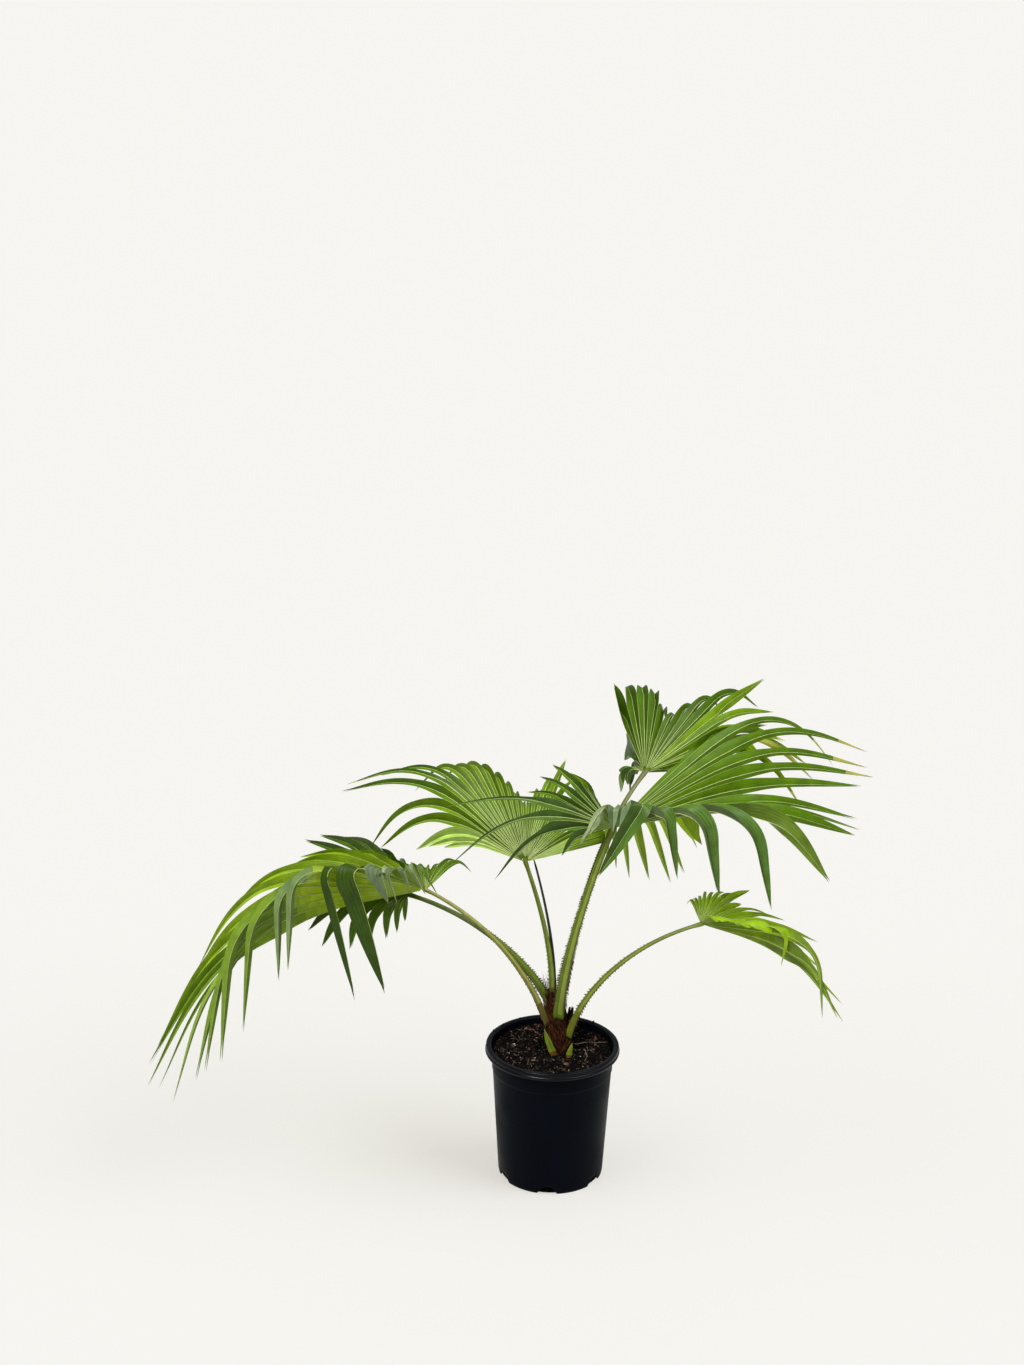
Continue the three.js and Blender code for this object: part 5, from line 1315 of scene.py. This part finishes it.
def trunk_core():
    """A trunk of overlapping leaf sheaths."""
    rows, columns = np.linspace(0, 1, BARK["rows"]), np.arange(BARK["columns"]) * TURN / BARK["columns"]
    share, angle = np.meshgrid(rows, columns, indexing="ij")
    waver = LAPS["waver"] * np.sin(LAPS["wavers"] * angle)
    lap = (share * LAPS["up"] + angle / TURN * LAPS["round"] + waver) % 1
    (sway, sways), (up, around) = RIDGES["waver"], RIDGES["breaks"]
    ridges = RIDGES["size"] * np.sin(angle * RIDGES["round"] + sway * np.sin(share * sways))
    ridges = ridges * np.sin(share * up + angle * around)
    skin = trunk_place(share, angle, -BARK["sunk"] + BARK["lap"] * lap**2 + BARK["ridge"] * ridges)
    skin[..., 2] -= BARK["root"] * (1 - share)
    foot, cap = (np.broadcast_to(ring.mean(0), ring.shape) for ring in (skin[0], skin[-1]))
    core = Patchwork()
    core.sheet(np.concatenate([[foot], skin, [cap]]), around=True)
    core.build("trunk_sheaths", "trunk", bark_finishes("trunk_sheath"), ["trunk"], closed=True)


def fibre_net():
    """The net of fibres that wraps the trunk, some of them loose."""
    dice = np.random.default_rng(SEEDS["net"])
    net = Patchwork()
    t = np.linspace(0, 1, NET["steps"])
    for _ in range(NET["count"]):
        start, angle = dice.uniform(0.0, 1.0), dice.uniform(0, TURN)
        rise = dice.uniform(*NET["rise"])
        slant = dice.choice([-1, 1]) * dice.uniform(*NET["slant"])
        proud = dice.uniform(0.0, NET["proud"]) + 0 * t
        if dice.uniform() < NET["loose"]:
            proud = proud + dice.uniform(0, NET["lift"]) * t**3
        share = start + rise * t
        path = trunk_place(np.clip(share, 0, NET["over"]), angle + slant * t, proud)
        path[:, 2] += np.maximum(share - 1, 0) * TRUNK["height"]
        radii = dice.uniform(*NET["radius"]) * np.linspace(1, NET["thin"], NET["steps"])
        net.tube(path, radii, NET["sides"], int(dice.integers(3)))
    looks = bark_finishes("fibre_dark", "fibre_rust", "fibre_brown")
    net.build("trunk_fibre_net", "fibre", looks, closed=True)


def stump_piece():
    """The stump of an old leaf: a dark bundle of broken fibres with a ragged top."""
    dice = np.random.default_rng(SEEDS["stump"])
    t = np.linspace(0, 1, STUMP["steps"])
    path, _ = bezier(STUBS["fibre_tuft"]["path"], t)
    stump = Patchwork()
    for _ in range(STUMP["count"]):
        a, r = dice.uniform(0, TURN), STUMP["reach"] * math.sqrt(dice.uniform(0, 1))
        strand = path[0] + (path - path[0]) * dice.uniform(*STUMP["ends"])
        offset = np.array([r * math.cos(a) * STUMP["flat"], r * math.sin(a), 0])
        strand = strand + offset * mix(1, STUMP["gather"], t)[:, None]
        strand[:, 2] += STUMP["ragged"] * dice.uniform(-1, 1) * t
        radii = dice.uniform(*STUMP["radius"]) * mix(1, STUMP["thin"], t)
        stump.tube(strand, radii, STUMP["sides"], int(dice.uniform() < STUMP["brown"]))
    looks = bark_finishes("stump_black", "stump_brown")
    stump.build("leaf_stump", "fibre", looks, ["fibre_tuft"], closed=True)


# ---------------------------------------------------------------- leaf stalks

STALK_SIDES, STALK_ROWS, KNOB_ROWS = 20, 72, 5
STALK_FACING = (0, -0.55, 0.835)  # the channels of the stalks look up and to the front
SECTION = {"channel": 0.34, "channel_width": 0.5, "rise": 0.75, "lift": 0.12}  # in radii of the stalk
SWELL = {"size": 0.25, "from": 0.94}  # a stalk thickens into its knob
KNOB = {"from": 0.25, "least": 0.02}  # a knob is round, and starts and ends at these shares of its reach
# Where a stalk's colours change round it: the pale stripe of painted light in the channel, and the underside
# darkened with painted shade.
STRIPE = {"from": 0.0, "middle": -0.3, "half": 0.42}
UNDER_TO = -0.02
GREEN, BROWN, LIT_STRIPE, SHADED_UNDERSIDE = 0, 1, 2, 3  # places in STALK_FINISHES
# The finishes of a stalk: which of its colours they have, then lines, roughness, relief, gloss and streaks.
STALK_FINISHES = {
    "stalk_": ("colour", "streak", 5, 0.36, 0.00015, 0.2, 0.4),
    "stalk_foot_": ("foot", "colour", 7, 0.6, 0.0003, 0.12, 0.5),
    "stalk_lit_upper_": ("upper", "streak", 4, 0.32, 0.0001, 0.22, 0.4),
    "stalk_shaded_under_": ("under", "colour", 5, 0.45, 0.0001, 0.1, 0.2),
}
# The brown margin of a stalk: where it lies, in radii aside and up, and its radius as a share of the
# stalk's with a least thickness.
MARGIN = {"aside": 0.98, "up": 0.16, "thick": 0.1, "least": 0.15, "thin": 0.3, "sides": 5}
MARGIN_LOOK = (3, 0.5, 0.0001, 0.3)
HORN_LOOK = ((0.03, 0.011, 0.005), (0.06, 0.025, 0.01), 3, 0.4, 0.0001, 0.3)
# Hooked teeth: where the first is, as a share of the trunk's height, how small they become, how uneven they
# are and how deep they sit. hook has two places along a tooth, out and back, in shares of its size.
TOOTH = {"first": 0.3, "least": 0.35, "sizes": (0.65, 1.15), "in": 0.3, "hook": ((0.55, 0.2), (0.95, 0.8)),
         "radii": [0.4, 0.28, 0.05], "sides": 5}
# Papery edges of a leaf sheath, in radii of its stalk and in millimetres of its own width.
SHEATH = {"steps": 14, "from_row": 2, "wide": 2.6, "taper": 0.7, "least": 0.15, "waver": 0.3, "wavers": 17,
          "lip": 1.02, "lip_out": 0.25, "lip_under": 0.05, "hang": (0.2, 0.8), "root": 0.86, "under": 0.3,
          "bulge": 0.35}
# The cut leaf bases: how they sink, taper, waver and swell, and how much of each is brown.
BASE = {"steps": 22, "sides": 22, "sunk": 2.5, "taper": 0.8, "tip": 0.8, "tip_from": 0.7, "waver": 0.04,
        "wavers": 25, "foot": 0.75, "foot_to": 0.3, "flat": 0.7, "brown": 0.27, "run": 0.6}
# The spear leaf: how many closed pleats it has and how deep, and how it thins to its tip.
ROD = {"steps": 60, "sides": 28, "pleats": 7, "pleat": 0.1, "tip": 0.75, "tip_from": 0.9, "run": 4.0}
STALK_RUN = 3.0  # how often the streaks start again along a stalk


def stalk_section(sides):
    """A stalk's section: a shallow channel above between two sharp margins, and round below."""
    a = (np.arange(sides) + 0.5) * TURN / sides
    wide, high = np.cos(a), np.sin(a)
    channel = SECTION["channel"] * np.exp(-((wide / SECTION["channel_width"]) ** 2))
    above = (1 - LIMB["flat"]) * high * SECTION["rise"] - channel + SECTION["lift"]
    return wide, np.where(high > 0, above, high)


def stalk_path(stalk):
    """A stalk from inside the trunk to its knob under the fan, with its radius at each place."""
    t = np.linspace(0, 1, STALK_ROWS)
    places, ways = bezier(stalk["path"], t)
    thick, thin = stalk["radii"]
    radii = mix(thin, thick, (1 - t) ** LIMB["taper"])
    radii = radii * (1 + SWELL["size"] * smooth((t - SWELL["from"]) / (1 - SWELL["from"])))
    ahead = np.linspace(KNOB["from"], 1, KNOB_ROWS)[:, None]
    places = np.concatenate([places, places[-1] + ways[-1] * HUB["front"] * ahead])
    radii = np.concatenate([radii, radii[-1] * np.sqrt(np.maximum(1 - ahead[:, 0] ** 2, KNOB["least"]))])
    return places, radii


def along_line(k, rows):
    """Rows of vectors read at fractional positions k."""
    return np.stack([np.interp(k, np.arange(len(rows)), rows[:, axis]) for axis in range(3)], -1)


def stalk_piece(name):
    """One leaf stalk, with its pale upper stripe of painted light, its underside darkened with painted
    shade, and its brown foot.
    """
    stalk, look = STALKS[name], STALK_LOOKS[name]
    places, radii = stalk_path(stalk)
    t = np.linspace(0, 1, len(places))
    middles = (np.arange(STALK_SIDES) + 1) * TURN / STALK_SIDES
    rise, off = np.sin(middles), np.cos(middles) - STRIPE["middle"]
    striped = (rise > STRIPE["from"]) & (np.abs(off) < STRIPE["half"])
    around = np.where(striped, LIT_STRIPE, np.where(rise < UNDER_TO, SHADED_UNDERSIDE, GREEN))
    finish = np.where(t[:-1, None] < look["brown"], BROWN, around)
    body = Patchwork()
    section = stalk_section(STALK_SIDES)
    body.tube(places, radii, section=section, finish=finish, length=STALK_RUN, facing=STALK_FACING)
    looks = [grained_finish(kind + name, look[colour], look[streak], *rest)
             for kind, (colour, streak, *rest) in STALK_FINISHES.items()]
    body.build("stalk_" + name, "stalk", looks, ["petiole_" + name], closed=True)
    teeth_piece(name, places, radii)


def teeth_piece(name, places, radii):
    """The brown margins of a stalk and the hooked teeth along them."""
    stalk, look = STALKS[name], STALK_LOOKS[name]
    side, up = frames_along(places, STALK_FACING)
    dice = np.random.default_rng(SEEDS["teeth"] + int(stalk["path"][3][0]) % SEEDS_APART["teeth"])
    length = np.concatenate([[0], np.cumsum(np.linalg.norm(np.diff(places, axis=0), axis=1))])
    toothed = length[-1] * look["teeth"]
    reach = int(len(places) * look["margin"])
    thick = (MARGIN["thick"] * radii[:reach] + MARGIN["least"]) * np.linspace(1, MARGIN["thin"], reach)
    teeth = Patchwork()
    for hand in (-1, 1):
        margin = places + side * radii[:, None] * MARGIN["aside"] * hand + up * radii[:, None] * MARGIN["up"]
        teeth.tube(margin[:reach], thick, MARGIN["sides"], 0)
        at = TRUNK["height"] * TOOTH["first"]
        while at < toothed:
            size = look["tooth"] * mix(1, TOOTH["least"], at / toothed) * dice.uniform(*TOOTH["sizes"])
            k = np.interp(at, length, np.arange(len(places)))
            spot, out = along_line(k, margin), along_line(k, side) * hand
            back = -unit(along_line(k, np.gradient(places, axis=0)))
            hook = [spot + out * size * aside + back * size * along for aside, along in TOOTH["hook"]]
            taper = np.array(TOOTH["radii"]) * size
            teeth.tube([spot - out * TOOTH["in"], *hook], taper, TOOTH["sides"], 1)
            at += dice.uniform(*look["pitch"])
    edge = grained_finish("stalk_margin_" + name, look["margin_colour"], look["streak"], *MARGIN_LOOK)
    horn = grained_finish("tooth_horn_" + name, *HORN_LOOK)
    teeth.build("teeth_" + name, "stalk", [edge, horn], closed=True)


def sheath_pieces():
    """Papery sheath edges that hold each stalk where it leaves the trunk."""
    sheaths = Patchwork()
    dice = np.random.default_rng(SEEDS["sheaths"])
    t = np.linspace(0, 1, SHEATH["steps"])
    for number, (name, stalk) in enumerate(STALKS.items()):
        places, radii = stalk_path(stalk)
        side, up = frames_along(places, STALK_FACING)
        k = np.interp(t, [0, 1], [SHEATH["from_row"], STALK_LOOKS[name]["sheath"]])
        r = np.interp(k, np.arange(len(radii)), radii)[:, None]
        wide = SHEATH["wide"] * (1 - t) ** SHEATH["taper"] + SHEATH["least"]
        wide = (wide + SHEATH["waver"] * np.sin(t * SHEATH["wavers"] + number))[:, None]
        line, rise = along_line(k, places), along_line(k, up)
        for hand in (-1, 1):
            out = along_line(k, side) * hand
            lip = line + out * (r * SHEATH["lip"] + wide * SHEATH["lip_out"])
            lip = lip - rise * (r * SHEATH["lip_under"] + wide * dice.uniform(*SHEATH["hang"]))
            root = line + out * r * SHEATH["root"] - rise * r * SHEATH["under"]
            middle = (lip + root) / 2 + out * SHEATH["bulge"]
            sheaths.sheet(np.stack([root, middle, lip], axis=1), int(number % 2))
    sheaths.build("leaf_sheath_edges", "fibre", bark_finishes("sheath_rust", "sheath_dark"))


def leaf_base_piece(name):
    """A cut leaf base at the foot of the trunk, green above and brown at its foot."""
    stub = STUBS[name]
    t = np.linspace(0, 1, BASE["steps"])
    places, _ = bezier(stub["path"], t)
    places[:, 2] -= BASE["sunk"] * (1 - t)
    thick, thin = stub["radii"]
    tip = 1 - BASE["tip"] * smooth((t - BASE["tip_from"]) / (1 - BASE["tip_from"]))
    foot = mix(BASE["foot"], 1, smooth(t / BASE["foot_to"]))
    waver = 1 + BASE["waver"] * np.sin(t * BASE["wavers"])
    radii = mix(thin, thick, (1 - t) ** BASE["taper"]) * tip * waver * foot
    wide, channel = stalk_section(BASE["sides"])  # turned a quarter, so that its channel looks aside
    finish = np.where(t < BASE["brown"], 1, 0)[:-1]
    base = Patchwork()
    section = channel * BASE["flat"], wide
    base.tube(places, radii, section=section, finish=finish, length=BASE["run"])
    looks = [grained_finish(name + tail, *BARK_LOOKS["leaf_base" + tail]) for tail in ("_green", "_brown")]
    base.build(name + "_stub", "stalk", looks, [name], closed=True)


def spear_piece():
    """The unopened spear leaf: closed pleats in a slender dark rod."""
    t = np.linspace(0, 1, ROD["steps"])
    places, _ = bezier(SPEAR["path"], t)
    thick, thin = SPEAR["radii"]
    tip = 1 - ROD["tip"] * smooth((t - ROD["tip_from"]) / (1 - ROD["tip_from"]))
    radii = mix(thin, thick, (1 - t) ** LIMB["taper"]) * tip
    a = (np.arange(ROD["sides"]) + 0.5) * TURN / ROD["sides"]
    pleats = 1 + ROD["pleat"] * np.cos(ROD["pleats"] * a)
    rod = Patchwork()
    rod.tube(places, radii, section=(np.cos(a) * pleats, np.sin(a) * pleats), length=ROD["run"])
    rod.build("spear_leaf", "spear", bark_finishes("spear_dark"), ["spear"], closed=True)


# ---------------------------------------------------------------- blades

FADE_SPREAD, DRY_SPREAD = (0.5, 1.3), (0.3, 1.4)  # how unevenly the fading and the dry tips reach
RUN_SCALE = 60  # length of blade along which a streak runs
RIB_BY, RIB_LEAST = 300, 0.3  # how a rib thins on a short segment
MIDRIB_TIP, NERVE_TIP, NERVE_LIFT, RIB_SIDES = 0.16, 0.15, 0.05, 4  # radii at the tips, lift over the web
MIDRIB_TAPER = 0.7
RIB_LOOK = (2, 0.42, 0.00005, 0.4, 0.4, 0.2)  # lines, roughness, depth of relief, gloss, streaks and mottle
RIB_FINISHES = {}


def tint_of(frond, turn):
    """The web's and the leaflet's tint at a turn of the fan."""
    return [row for row in frond["tints"] if row[0] <= turn][-1][1:]


def row_finishes(finishes, frond, part, dice):
    """The finishes of a segment's rows, for each half with its painted shade or painted light: web to
    leaflet by steps, and its fading and dry tip.

    finishes lists those of the whole frond, in the order in which they are first asked for.
    """
    web, leaflet, fade_share, dry_share = tint_of(frond, part["turn"])
    x = (part["free"][:-1] + part["free"][1:]) / 2
    bent = (part["bent"][:-1] + part["bent"][1:]) / 2
    given = np.maximum(x / BLEND_BY, (bent - BLEND_BEND[0]) / (BLEND_BEND[1] - BLEND_BEND[0]))
    steps = np.clip(np.round(given * BLEND_STEPS), 0, BLEND_STEPS).astype(int)
    steps = np.where(x > 1 - fade_share * dice.uniform(*FADE_SPREAD), BLEND_STEPS + 1, steps)
    steps = np.where(x > 1 - dry_share * dice.uniform(*DRY_SPREAD), BLEND_STEPS + 2, steps)
    found = []
    for level in PAINTED_HALF_SHADING:
        tints = [leaf_finish(web, leaflet, step / BLEND_STEPS, level) for step in range(BLEND_STEPS + 1)]
        tints += [leaf_finish(tint, tint, 0.0, level) for tint in ("fading", "dry")]
        finishes += [tint for tint in dict.fromkeys(tints) if tint not in finishes]
        found.append(np.array([finishes.index(tint) for tint in tints])[steps])
    return found


def add_plate(sheets, inner, outer, hand, finish):
    """One half of a segment, from its fold to its edge, slightly crowned. Its upper face looks up."""
    span = outer - inner
    along = np.gradient((inner + outer) / 2, axis=0)
    size = np.linalg.norm(span, axis=1)
    crown = unit(np.cross(span * hand, along) * -1 + 1e-9) * (CROWN * size)[:, None]
    s = np.linspace(0, 1, PLATE_COLUMNS + 1)
    grid = inner[:, None] + span[:, None] * s[:, None] + crown[:, None] * np.sin(np.pi * s)[:, None]
    run = np.concatenate([[0], np.cumsum(np.linalg.norm(along[1:], axis=1))]) / RUN_SCALE
    u, v = np.broadcast_arrays(1 - s, run[:, None])
    places = np.dstack([u, v])
    if hand > 0:
        grid, places = grid[:, ::-1], places[:, ::-1]
    sheets.sheet(grid, finish, places)


def rib_radii(thick, tip, share, taper=1.0):
    """The radii of a rib, which rises from the hub and thins towards its tip."""
    return mix(thick, tip, share**taper) * mix(RIB["root"], 1, smooth(share / RIB["rise_by"]))


def add_ribs(ribs, part):
    """The midrib along a segment's fold, and the finer nerve where it joins its neighbour."""
    left, fold, fold_right, _ = part["lines"]
    free, face = part["free"], part["face"]
    midrib = ((fold + fold_right) / 2)[free <= part["split"]][1:]
    thick = RIB["fold"] * min(1, part["length"] / RIB_BY + RIB_LEAST)
    radii = rib_radii(thick, MIDRIB_TIP, np.linspace(0, 1, len(midrib)), MIDRIB_TAPER)
    ribs.tube(midrib, radii, RIB_SIDES, 0)
    joined = np.count_nonzero(free <= 0)
    nerve = left[1:joined] + face[1:joined] * NERVE_LIFT
    ribs.tube(nerve, rib_radii(RIB["edge"], NERVE_TIP, np.linspace(0, 1, len(nerve))), RIB_SIDES, 1)


def rib_finish(tint):
    if tint not in RIB_FINISHES:
        RIB_FINISHES[tint] = grained_finish("rib_" + tint, *RIB_TINTS[tint], *RIB_LOOK)
    return RIB_FINISHES[tint]


def blade_pieces(name, nodes):
    """One frond: its plates in one piece and its ribs in another."""
    frond = FRONDS[name]
    frond["hub"] = np.array(STALKS[name]["path"][3], float)
    frond["axes"] = blade_axes(frond["aim"])
    turns = edge_turns(frond)
    dice = np.random.default_rng(SEEDS["fronds"] + frond["seed"])
    sheets, ribs, finishes = Patchwork(), Patchwork(), []
    for index in range(len(turns) - 1):
        part = segment(frond, index, turns)
        left, fold_left, fold_right, right = part["lines"]
        # one half of each fold is finished with painted shade, the other with painted light
        dark, light = row_finishes(finishes, frond, part, dice)
        add_plate(sheets, fold_left, left, -1, dark)
        add_plate(sheets, fold_right, right, 1, light)
        add_ribs(ribs, part)
    sheets.build("blade_" + name, "leaf", finishes, nodes)
    ribs.build("ribs_" + name, "leaf", [rib_finish(tint) for tint in frond["ribs"]], closed=True)


# ---------------------------------------------------------------- stage

FLOOR_SIDES = 64
SHADE_EDGE = 0.004  # width of the ring where the dark spot ends
FAR = 200  # how far the camera sees, in metres


def stage_floor():
    """A wide pale floor, larger than the camera sees, with a painted shadow under the pot: a dark spot
    without the floor's glow.
    """
    mesh = bpy.data.meshes.new("studio_floor")
    radii = [FLOOR["shade"], FLOOR["shade"] + SHADE_EDGE, FLOOR["reach"]]
    angles = np.arange(FLOOR_SIDES) * TURN / FLOOR_SIDES
    rings = [(r * math.cos(a), r * math.sin(a), 0) for r in radii for a in angles]
    index = np.arange(len(rings)).reshape(len(radii), FLOOR_SIDES)
    after = np.roll(index, -1, axis=1)
    bands = np.stack([index[:-1], index[1:], after[1:], after[:-1]], -1).reshape(-1, 4)
    mesh.from_pydata(rings, [], [index[0].tolist(), *bands.tolist()])
    floor = bpy.data.objects.new("studio_floor", mesh)
    bpy.context.scene.collection.objects.link(floor)
    mesh.materials.append(matt_finish("studio_floor", FLOOR["colour"], FLOOR["glow"]))
    mesh.materials.append(matt_finish("floor_painted_shadow", FLOOR["under"]))
    mesh.polygons[0].material_index = 1
    return floor


def studio_light(floor):
    """A bright dome that is dim behind the camera, and lamps that light either the plant or the floor."""
    lit = {}
    for label, state in (("plant", "EXCLUDE"), ("floor", "INCLUDE")):
        lit[label] = bpy.data.collections.new("lit_by_" + label + "_lamps")
        lit[label].objects.link(floor)
        lit[label].collection_objects[0].light_linking.link_state = state
    world = bpy.data.worlds.new("studio_dome")
    world.use_nodes = True
    tree = world.node_tree
    way = add_node(tree, "SeparateXYZ", Vector=add_node(tree, "TexCoord").outputs["Generated"]).outputs
    front, overhead = ranged(tree, way[1], *DOME["front"]), ranged(tree, way[2], *DOME["overhead"])
    share = maths(tree, "MAXIMUM", front, overhead)
    colour = blended(tree, share, rgba(DOME["dim"]), rgba(DOME["bright"]))
    feed(tree, tree.nodes["Background"], {"Color": colour, "Strength": DOME["strength"]})
    bpy.context.scene.world = world
    for name, (power, angle, heading, height, target) in LAMPS.items():
        lamp = bpy.data.lights.new(name, "SUN")
        lamp.energy, lamp.angle = power, math.radians(angle)
        shown = bpy.data.objects.new(name, lamp)
        bpy.context.scene.collection.objects.link(shown)
        h, e = math.radians(heading), math.radians(height)
        toward = Vector((math.cos(h) * math.cos(e), math.sin(h) * math.cos(e), math.sin(e)))
        shown.rotation_euler = toward.to_track_quat("Z", "Y").to_euler()
        shown.light_linking.receiver_collection = lit[target]


def camera():
    """A camera above and in front of the plant, looking down on it."""
    pitch, roll = math.radians(CAMERA["pitch"]), math.radians(CAMERA["roll"])
    ahead = Vector((0, math.cos(pitch), -math.sin(pitch)))
    right = Vector((1, 0, 0))
    up = right.cross(ahead)
    leaning = right * math.cos(roll) + up * math.sin(roll)
    upright = up * math.cos(roll) - right * math.sin(roll)
    made = bpy.data.objects.new("camera", bpy.data.cameras.new("camera"))
    made.data.sensor_width, made.data.lens, made.data.clip_end = CAMERA["sensor"], CAMERA["lens"], FAR
    turn = Matrix((leaning, upright, -ahead)).transposed().to_4x4()
    made.matrix_world = Matrix.Translation(Vector(CAMERA["place"]) * MM) @ turn
    bpy.context.scene.collection.objects.link(made)
    bpy.context.scene.camera = made


# ---------------------------------------------------------------- the whole plant

camera()
studio_light(stage_floor())
bpy.context.scene.view_settings.view_transform = "Standard"

pot_piece()
soil_bed()
soil_details()
trunk_core()
fibre_net()
stump_piece()
leaf_base_piece("leaf_base_left")
leaf_base_piece("leaf_base_right")
sheath_pieces()
spear_piece()
for stalk_name in STALKS:
    stalk_piece(stalk_name)
    falls = "frond_" + stalk_name + "_fall"
    nodes = ["frond_" + stalk_name] + ([falls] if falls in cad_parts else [])
    blade_pieces(stalk_name, nodes)
